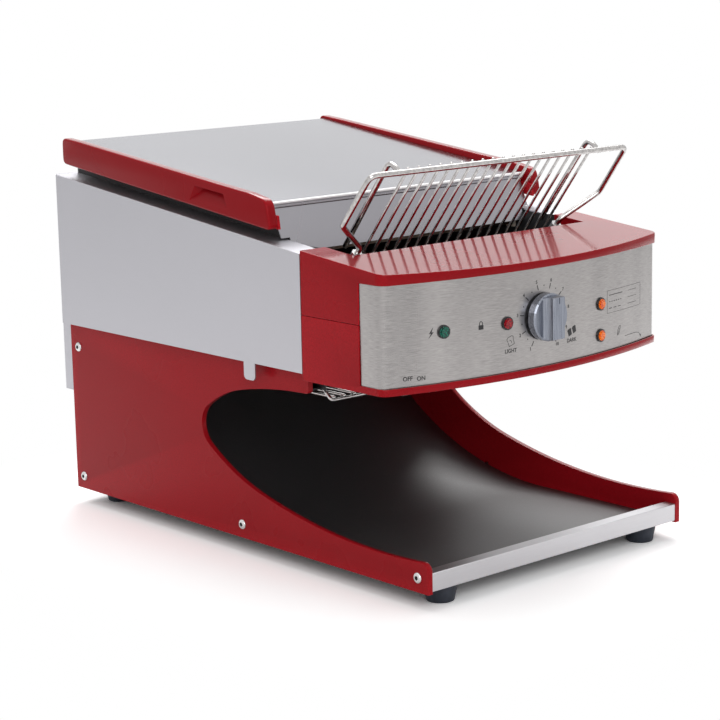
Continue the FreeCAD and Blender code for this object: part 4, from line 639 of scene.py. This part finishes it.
for side, label in ((-1, "left"), (1, "right")):
    bm = bmesh.new()
    solid(bm, cap_profile[:-1], LID_HALF * side, CAP_HALF * side)
    blank = as_object("cap_blank", bm)
    bm = bmesh.new()
    mouth = [bm.verts.new(place((CAP_HALF + GRIP_OVERRUN) * side, y, z)) for y, z in GRIP_MOUTH]
    floor_rim = [bm.verts.new(place((CAP_HALF - deep) * side, y, z)) for y, z, deep in GRIP_FLOOR]
    rings(bm, [mouth, floor_rim])
    bm.faces.new(mouth)
    bm.faces.new(floor_rim)
    bmesh.ops.triangulate(bm, faces=bm.faces)
    tool = as_object("cap_tool", bm)
    soften = blank.modifiers.new("soften", "BEVEL")
    soften.width, soften.segments, soften.limit_method = CAP_EDGE, 4, "ANGLE"
    soften.angle_limit = math.radians(50)
    press = blank.modifiers.new("press", "BOOLEAN")
    press.object, press.operation, press.solver = tool, "DIFFERENCE", "EXACT"
    bpy.context.view_layer.update()
    formed = bpy.data.meshes.new_from_object(blank.evaluated_get(bpy.context.evaluated_depsgraph_get()))
    bm = bmesh.new()
    bm.from_mesh(formed)
    bpy.data.objects.remove(blank)
    bpy.data.objects.remove(tool)
    bpy.data.meshes.remove(formed)
    step = [(place(0, y, z).y, place(0, y, z).z) for y, z in STEP_OUTLINE]
    solid(bm, step, (LID_HALF - STEP_DEPTH) * side, (LID_HALF + STEP_SINK) * side)
    cap = put("lid_cap_shell_" + label, bm, red, "lid", smooth=32)
    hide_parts("lid_cap_" + label)

# Feed rack: a frame of 6 mm wire, nineteen thin wires and two guide loops, all welded up
# on a slope. A small brace ties the frame's legs low behind the slot's edge.
RAIL_Y, RAIL_Z = 76.9, 405.2
SLOPE_RUN, SLOPE_FALL = 0.61015, 0.79229


def on_rack(x, y, z=0.0):
    """A point measured along the rack's slope: y down the slope, z towards the bread."""
    return place(x, RAIL_Y + SLOPE_RUN * y + SLOPE_FALL * z, RAIL_Z - SLOPE_FALL * y + SLOPE_RUN * z)


ROD = 0.003
ROD_BEND, LOOP_BEND = 0.009, 0.012
LEG_HALF = 146.2
LOOP_HALF, LOOP_START, LOOP_HEIGHT = 144, 2.1, 20
BRACE_Y, BRACE_Z = 129, -1.5
RACK_OUTLINE = [
    (-LEG_HALF, 138), (-LEG_HALF, 101), (-187.5, 65.9), (-185.5, 0),
    (185.5, 0), (187.5, 65.9), (LEG_HALF, 101), (LEG_HALF, 138),
]
LOOP_RUN = ((LOOP_START, 0), (LOOP_START, LOOP_HEIGHT), (118, LOOP_HEIGHT))
LOOP_WELD, LOOP_BEAD = (0.6, 2.2), 0.0026
THIN_TOP, THIN_FOOT = (-1.6, 3.9), (131, 4.2)
THIN_WELD, THIN_BEAD = (0.4, 2.7), 0.0015
columns = [(k - 9) * WIRE_PITCH for k in range(19)]
bm = bmesh.new()
wire(bm, [on_rack(x, y) for x, y in RACK_OUTLINE], ROD, bend=ROD_BEND, sides=14)
wire(bm, [on_rack(x, BRACE_Y, BRACE_Z) for x in (-LEG_HALF, LEG_HALF)], CROSS_WIRE, sides=12)
for side in (-1, 1):
    loop = [on_rack(LOOP_HALF * side, y, z) for y, z in LOOP_RUN]
    wire(bm, loop, ROD - 0.0001, bend=LOOP_BEND, sides=14)
    weld_bead(bm, on_rack(LOOP_HALF * side, *LOOP_WELD), LOOP_BEAD)
for x in columns:
    wire(bm, [on_rack(x, *THIN_TOP), on_rack(x, *THIN_FOOT)], THIN)
    weld_bead(bm, on_rack(x, *THIN_WELD), THIN_BEAD)
rack = put("feed_rack_wires", bm, bright, "feed_rack", smooth=60)
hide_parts("feed_rack")

# Bed grid: fixed wires that carry the slope on and turn level over the heating rods. Two
# cross wires run under them from side to side.
BED_RUN = ((162.6, 300.8), (193.25, 261.0), (455, 261.0))
BED_HALF = 169.8
BED_CROSSINGS = ((451.0, 257.7), (170.6, 285.5))
bm = bmesh.new()
for x in columns:
    wire(bm, [place(x, y, z) for y, z in BED_RUN], THIN, bend=0.025, sides=8)
for y, z in BED_CROSSINGS:
    wire(bm, [place(-BED_HALF, y, z), place(BED_HALF, y, z)], CROSS_WIRE, sides=10)
bed = put("bed_wires", bm, straw, "housing", smooth=60)
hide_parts("bed_grid")

# Guard grid: level wires under the chamber, hung from two cross wires. The front one
# turns up and back at its ends, the rear one straight up.
GUARD_LEVEL = 171.1
GUARD_PITCH = 13.8
GUARD_FRONT, GUARD_REAR = 160.5, 400
CROSS_LEVEL, CROSS_TOP, CROSS_HALF = 167.8, 191, 168
bm = bmesh.new()
for k in range(25):
    x = (k - 12) * GUARD_PITCH
    wire(bm, [place(x, GUARD_FRONT, GUARD_LEVEL), place(x, GUARD_REAR, GUARD_LEVEL)], THIN, sides=8)
for y, lean in ((162.8, 25.4), (392.0, 0.0)):
    points = [place(-CROSS_HALF, y + lean, CROSS_TOP), place(-CROSS_HALF, y, CROSS_LEVEL),
              place(CROSS_HALF, y, CROSS_LEVEL), place(CROSS_HALF, y + lean, CROSS_TOP)]
    wire(bm, points, CROSS_WIRE, bend=0.004, sides=10)
guard = put("guard_wires", bm, bright, "housing", smooth=60)
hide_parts("guard_grid")

# Walking grid: wires bent down at both ends, between two flat bars with big bored rings
# that run on the eccentrics of the two shafts.
SHAFT_Y = (205.0, 425.0)
ECCENTRIC_Z = 213
RING_RADIUS, BORE_RADIUS = 20.8, 16.05
WALK_FRONT, WALK_REAR = 210.0, 412.0
WALK_LOW, WALK_TOP = 236.5, 251.5
BAR_INNER, BAR_OUTER = 156.5, 159.5
BAR_FRONT, BAR_REAR, BAR_FOOT, BAR_TOP = 221.5, 408.5, 205, 216
LUG_HALF, LUG_FOOT, LUG_TOP = 5, 230.5, 240.5
END_HALF, END_ROD = 157, 0.0025
bm = bmesh.new()
for k in range(18):
    x = (k - 8.5) * WIRE_PITCH
    run = [(WALK_FRONT, WALK_LOW), (WALK_FRONT, WALK_TOP), (WALK_REAR, WALK_TOP), (WALK_REAR, WALK_LOW)]
    wire(bm, [place(x, y, z) for y, z in run], THIN, bend=0.004, sides=8)
for y in (WALK_FRONT, WALK_REAR):
    wire(bm, [place(-END_HALF, y, WALK_LOW), place(END_HALF, y, WALK_LOW)], END_ROD, sides=12)


def plate(bm, outline, x0, x1, hole=None):
    """A flat piece of sheet from its outline (y, z), between two levels of x."""
    sides = [[bm.verts.new(place(x, y, z)) for y, z in outline] for x in (x0, x1)]
    rings(bm, sides)
    if not hole:
        bm.faces.new(sides[0])
        bm.faces.new(sides[1])
        return
    bores = [[bm.verts.new(place(x, y, z)) for y, z in hole] for x in (x0, x1)]
    rings(bm, bores)
    for rim, bore in zip(sides, bores):
        rings(bm, [rim, bore])


def circle(y, z, radius, sides=48):
    """The outline (y, z) of a round plate or bore."""
    angles = [2 * math.pi * k / sides for k in range(sides)]
    return [(y + radius * math.cos(angle), z + radius * math.sin(angle)) for angle in angles]


def oblong(y0, y1, z0, z1):
    """The outline (y, z) of a flat bar."""
    return [(y0, z0), (y1, z0), (y1, z1), (y0, z1)]


for side in (-1, 1):
    near, far = BAR_INNER * side, BAR_OUTER * side
    for y in SHAFT_Y:
        plate(bm, circle(y, ECCENTRIC_Z, RING_RADIUS), near, far, circle(y, ECCENTRIC_Z, BORE_RADIUS))
    plate(bm, oblong(BAR_FRONT, BAR_REAR, BAR_FOOT, BAR_TOP), near, far)
    for y in (WALK_FRONT, WALK_REAR):
        plate(bm, oblong(y - LUG_HALF, y + LUG_HALF, LUG_FOOT, LUG_TOP), near, far)
walker = put("walking_wires", bm, straw, "walking_grid", smooth=40)
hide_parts("walking_grid")

# Fascia prints: dial marks, words and small signs, screened in dark grey on the bowed
# steel. Sizes are across and up the fascia; the bow bends them round.
FILM = 0.06
print_ink, tree, shader = new_finish("screen_print", {"IOR": 1.45})
worn = add(tree, "TexNoise", {"Scale": 1500.0, "Detail": 2.0}, {"Vector": here(tree)})
mottled(tree, shader, worn.outputs[0], tones=(tone(24, 23, 25), tone(44, 42, 44)), gloss=(0.42, 0.56),
        tone_spread=(0.4, 0.7))
BOW = 650.0
BOW_CENTRE = 667.0
STROKE_PIECE = 12


def on_fascia(x, z, proud=0.0):
    """A point on the bowed face of the fascia, or a little proud of it."""
    deep = math.sqrt((BOW + proud) ** 2 - x * x)
    return place(x, BOW_CENTRE - deep, z)


def printed(bm, outline):
    """A printed shape on the bow from its corners (x, z), as thick as the film of ink."""
    front = [bm.verts.new(on_fascia(x, z, FILM)) for x, z in outline]
    back = [bm.verts.new(on_fascia(x, z)) for x, z in outline]
    bm.faces.new(front)
    bm.faces.new(back[::-1])
    rings(bm, [front, back])


def stroke(bm, points, width):
    """A printed line through points, in short pieces that follow the bow."""
    for (x0, z0), (x1, z1) in zip(points, points[1:]):
        length = math.hypot(x1 - x0, z1 - z0)
        u, v = (x1 - x0) / length * width / 2, (z1 - z0) / length * width / 2
        pieces = max(1, round(length / STROKE_PIECE))
        for k in range(pieces):
            a, b = k / pieces, (k + 1) / pieces
            ax, az = x0 + (x1 - x0) * a, z0 + (z1 - z0) * a
            bx, bz = x0 + (x1 - x0) * b, z0 + (z1 - z0) * b
            printed(bm, [(ax - v, az + u), (bx - v, bz + u), (bx + v, bz - u), (ax + v, az - u)])


def words(name, text, x, z, height):
    """Printed words or a number, centred on a point of the fascia and laid on its bow."""
    curve = bpy.data.curves.new(name, "FONT")
    curve.body = text
    curve.size = height * 1.42
    curve.align_x, curve.align_y = "CENTER", "CENTER"
    curve.offset = 0.032 * height
    shaped = bpy.data.objects.new(name, curve)
    scene.collection.objects.link(shaped)
    bpy.context.view_layer.update()
    flat = bpy.data.meshes.new_from_object(shaped)
    bpy.data.objects.remove(shaped)
    bm = bmesh.new()
    bm.from_mesh(flat)
    bpy.data.meshes.remove(flat)
    bmesh.ops.remove_doubles(bm, verts=bm.verts, dist=0.0001)
    made = bmesh.ops.extrude_face_region(bm, geom=bm.faces[:])
    lifted = {v for v in made["geom"] if isinstance(v, bmesh.types.BMVert)}
    for vert in bm.verts:
        vert.co = on_fascia(x + vert.co.x, z + vert.co.y, FILM if vert in lifted else 0.0)
    put(name, bm, print_ink, "housing", smooth=30)


DIAL_X, DIAL_Z = -6.2, 251.7
FIRST_MARK, MARK_STEP, LAST_NUMBER = -148.5, 33, 10
TICK_INNER, TICK_OUTER, NUMBER_RING = 28.4, 34.0, 37.2
DOT_RING, DOT_RADIUS = 31.4, 0.7


def on_dial(radius, degrees):
    """A point of the dial, clockwise from its top."""
    angle = math.radians(degrees)
    return DIAL_X + radius * math.sin(angle), DIAL_Z + radius * math.cos(angle)


signs = bmesh.new()
for k in range(LAST_NUMBER):
    mark = FIRST_MARK + MARK_STEP * k
    stroke(signs, [on_dial(TICK_INNER, mark), on_dial(TICK_OUTER, mark)], 1.0)
    words(f"dial_number_{k + 1}", str(k + 1), *on_dial(NUMBER_RING, mark), 3.4)
    if k < LAST_NUMBER - 1:
        cx, cz = on_dial(DOT_RING, mark + MARK_STEP / 2)
        eighths = [t * math.pi / 4 for t in range(8)]
        printed(signs, [(cx + DOT_RADIUS * math.cos(t), cz + DOT_RADIUS * math.sin(t)) for t in eighths])
words("word_light", "LIGHT", -52.3, 221.7, 4.0)
words("word_dark", "DARK", 35.8, 220.8, 4.0)
words("word_off", "OFF", -173.8, 208.2, 4.2)
words("word_on", "ON", -159.4, 207.2, 4.2)
# a pale slice of bread by LIGHT and two dark ones by DARK, tilted a little
SLICE = ((-4, -4.4), (3.2, -4.4), (3.6, 1.2), (4.4, 3.2), (2.6, 4.8), (-2.6, 4.8), (-4.6, 3.4), (-4.1, 1.4))
TILT_COS, TILT_SIN = 0.94, 0.34
tilted = [(x * TILT_COS - z * TILT_SIN, x * TILT_SIN + z * TILT_COS) for x, z in SLICE]
pale = [(-52.1 + x, 231.8 + z) for x, z in tilted]
stroke(signs, pale + pale[:1], 0.55)
stroke(signs, [(-54.0, 233.0), (-51.5, 231.6), (-51.2, 229.6)], 0.5)
for x, z in ((33.0, 229.3), (40.0, 231.6)):
    printed(signs, [(x + u * 0.72, z + v * 0.8) for u, v in tilted])
# a mains flash by the green lamp, and a padlock by the red one
FLASH = ((-145.6, 257.0), (-150.4, 250.2), (-148.0, 250.6), (-151.0, 245.4), (-144.9, 251.9), (-147.4, 251.6))
SHACKLE = ((-91.8, 252.6), (-91.8, 255.0), (-90.0, 256.4), (-88.2, 255.0), (-88.2, 252.6))
LOCK_BODY = ((-93, 252.6), (-87, 252.6), (-87, 248.0), (-93, 248.0))
printed(signs, FLASH)
stroke(signs, SHACKLE, 0.8)
printed(signs, LOCK_BODY)
# a leaf with its stalk by the lower amber lamp, and an arrow to the button under the lip
LEAF = (
    (-3.2, -4.8), (-0.6, -3.9), (2.0, -1.0), (3.0, 2.4), (3.2, 5.0), (0.4, 4.0), (-2.2, 1.2), (-3.2, -2.0)
)
stroke(signs, [(120.5 + x * 0.85, 218.4 + z) for x, z in LEAF + LEAF[:1]], 0.55)
stroke(signs, [(117.6, 213.2), (120.0, 217.2), (121.6, 220.6)], 0.55)
stroke(signs, [(133.0, 210.4), (156.0, 210.4), (163.0, 209.0), (166.2, 206.0)], 0.6)
printed(signs, [(164.4, 206.8), (168.2, 206.4), (167.6, 203.4)])
# key to the upper amber lamp: a ruled box with a steady, a quick and a slow flash as lines
BOX_LEFT, BOX_RIGHT, BOX_TOP, BOX_FOOT = 97.5, 165.5, 263.6, 239.6
FIRST_ROW, ROW_STEP = 258.6, 7.0
FLASH_LEFT, FLASH_WIDTH = 101.0, 26.0
LINE_LEFT, LINE_WIDTH = 138.0, 18.0
stroke(signs, [(BOX_LEFT, BOX_TOP), (BOX_RIGHT, BOX_TOP), (BOX_RIGHT, BOX_FOOT), (BOX_LEFT, BOX_FOOT),
               (BOX_LEFT, BOX_TOP)], 0.35)
for row, (marks, gap) in enumerate(((1, 0.0), (6, 0.45), (3, 0.4))):
    z = FIRST_ROW - ROW_STEP * row
    width = FLASH_WIDTH / marks
    for k in range(marks):
        start = FLASH_LEFT + width * k
        stroke(signs, [(start, z), (start + width * (1 - gap), z)], 0.8)
    stroke(signs, [(LINE_LEFT, z), (LINE_LEFT + LINE_WIDTH, z)], 0.45)
put("fascia_signs", signs, print_ink, "housing", smooth=30)

# Pilot lamps: a black bezel each and a faceted coloured lens over a small reflector. The
# switches, the gland and the terminal strip are moulded in the same black plastic.
black, tree, shader = new_finish("black_plastic", {"IOR": 1.46})
skin = effect(tree, orange_peel, **{"Ripples per metre": 2200.0})
mottled(tree, shader, skin.outputs["Cloud"], tones=(tone(24, 24, 26), tone(32, 32, 34)), gloss=(0.3, 0.42),
        tone_spread=(0.3, 0.7), gloss_spread=(0.3, 0.7))
raised(tree, shader, skin.outputs["Height"], depth=0.00002)
for name in ("lamp_bezels", "power_rocker", "switch_housing", "button_cup", "mode_button", "speed_control",
             "mains_gland", "terminal_strip"):
    finish_node(name, black)


def lens_plastic(name, deep, bright_tone, glow):
    """Coloured clear plastic over a bright reflector with small prisms."""
    made, tree, shader = new_finish(name, {"IOR": 1.4, "Coat Weight": 0.15, "Coat Roughness": 0.05})
    prisms = add(tree, "TexVoronoi", {"Scale": 620.0}, {"Vector": here(tree)}, feature="F1")
    shade = ranged(tree, prisms.outputs["Distance"], 1.0, 0.0, 0.1, 0.75)
    colour = mixed(tree, shade, deep, bright_tone)
    tree.links.new(colour, shader.inputs["Base Color"])
    tree.links.new(ranged(tree, shade, 0.12, 0.24), shader.inputs["Roughness"])
    tree.links.new(colour, shader.inputs["Emission Color"])
    shader.inputs["Emission Strength"].default_value = glow
    raised(tree, shader, prisms.outputs["Distance"], 0.0004)
    return made


finish_node("lens_green", lens_plastic("green_lens", tone(0, 40, 36), tone(8, 124, 100), 0.04))
finish_node("lens_red", lens_plastic("red_lens", tone(96, 0, 14), tone(206, 14, 34), 0.05))
finish_node("lens_amber", lens_plastic("amber_lens", tone(186, 58, 2), tone(252, 142, 34), 0.3))

# Knob: a satin metal drum, scooped on both sides to leave a bar across, with a pointer
# groove. It sits on the shaft of the speed control.
satin, tree, shader = new_finish("satin_knob", {"Metallic": 0.9, "IOR": 1.5})
grain = effect(tree, sheet_grain)
grain.inputs[0].default_value = (1200.0, 1200.0, 30.0)
mottled(tree, shader, grain.outputs["Height"], tones=(tone(122, 126, 137), tone(152, 156, 166)),
        gloss=(0.26, 0.34))
raised(tree, shader, grain.outputs["Height"], depth=0.00002)
finish_node("knob", satin)

# Drive and heat: ground steel shafts and gears, bronze bushes, a cast motor, a green
# control board, and sheathed heating rods in ceramic blocks.
ground, tree, shader = new_finish("ground_steel", {"Metallic": 1.0})
turned_marks = add(tree, "TexNoise", {"Scale": 1.0, "Detail": 3.0})
ringed = add(tree, "VectorMath", {1: (1600.0, 60.0, 60.0)}, {0: here(tree)}, operation="MULTIPLY")
tree.links.new(ringed.outputs[0], turned_marks.inputs["Vector"])
mottled(tree, shader, turned_marks.outputs[0], tones=(tone(150, 151, 154), tone(182, 182, 184)),
        gloss=(0.24, 0.36))
raised(tree, shader, turned_marks.outputs[0], depth=0.00001)
for name in ("front_shaft", "rear_shaft", "motor_shaft", "knob_shaft", "drive_gear", "pinion", "rear_crank",
             "coupling_rod"):
    finish_node(name, ground)


def plain_part(name, dark, light, rough, values, size=240.0, depth=0.00002):
    """A finish for the inner pieces: two close tones, a fine relief and uneven gloss."""
    gloss_sway = 0.07
    made, tree, shader = new_finish(name, values)
    spread = add(tree, "TexNoise", {"Scale": size, "Detail": 4.0}, {"Vector": here(tree)})
    mottled(tree, shader, spread.outputs[0], tones=(dark, light),
            gloss=(rough - gloss_sway, rough + gloss_sway))
    raised(tree, shader, spread.outputs[0], depth)
    return made


for name in ("chassis_side_left", "chassis_side_right"):
    finish_node(name, plain_part("inner_black", tone(22, 22, 24), tone(32, 32, 34), 0.55, {"IOR": 1.45}, 900))
finish_node("shaft_bushes", plain_part(
    "sintered_bronze", tone(150, 112, 62), tone(186, 146, 88), 0.4, {"Metallic": 1.0}, 2400))
finish_node("gear_motor", plain_part(
    "cast_motor", tone(118, 121, 126), tone(146, 148, 152), 0.5, {"Metallic": 0.8}, 900, 0.00006))
finish_node("control_board", plain_part(
    "board_green", tone(18, 82, 44), tone(34, 104, 58), 0.4, {"IOR": 1.5}, 400))
finish_node("ceramic_blocks", plain_part(
    "steatite", tone(214, 208, 194), tone(232, 228, 216), 0.35, {"IOR": 1.6}, 500))
sheath = plain_part("heating_sheath", tone(84, 74, 66), tone(122, 112, 100), 0.45, {"Metallic": 0.85}, 160)
for name in ("lower_heating_rods", "upper_heating_rods"):
    finish_node(name, sheath)
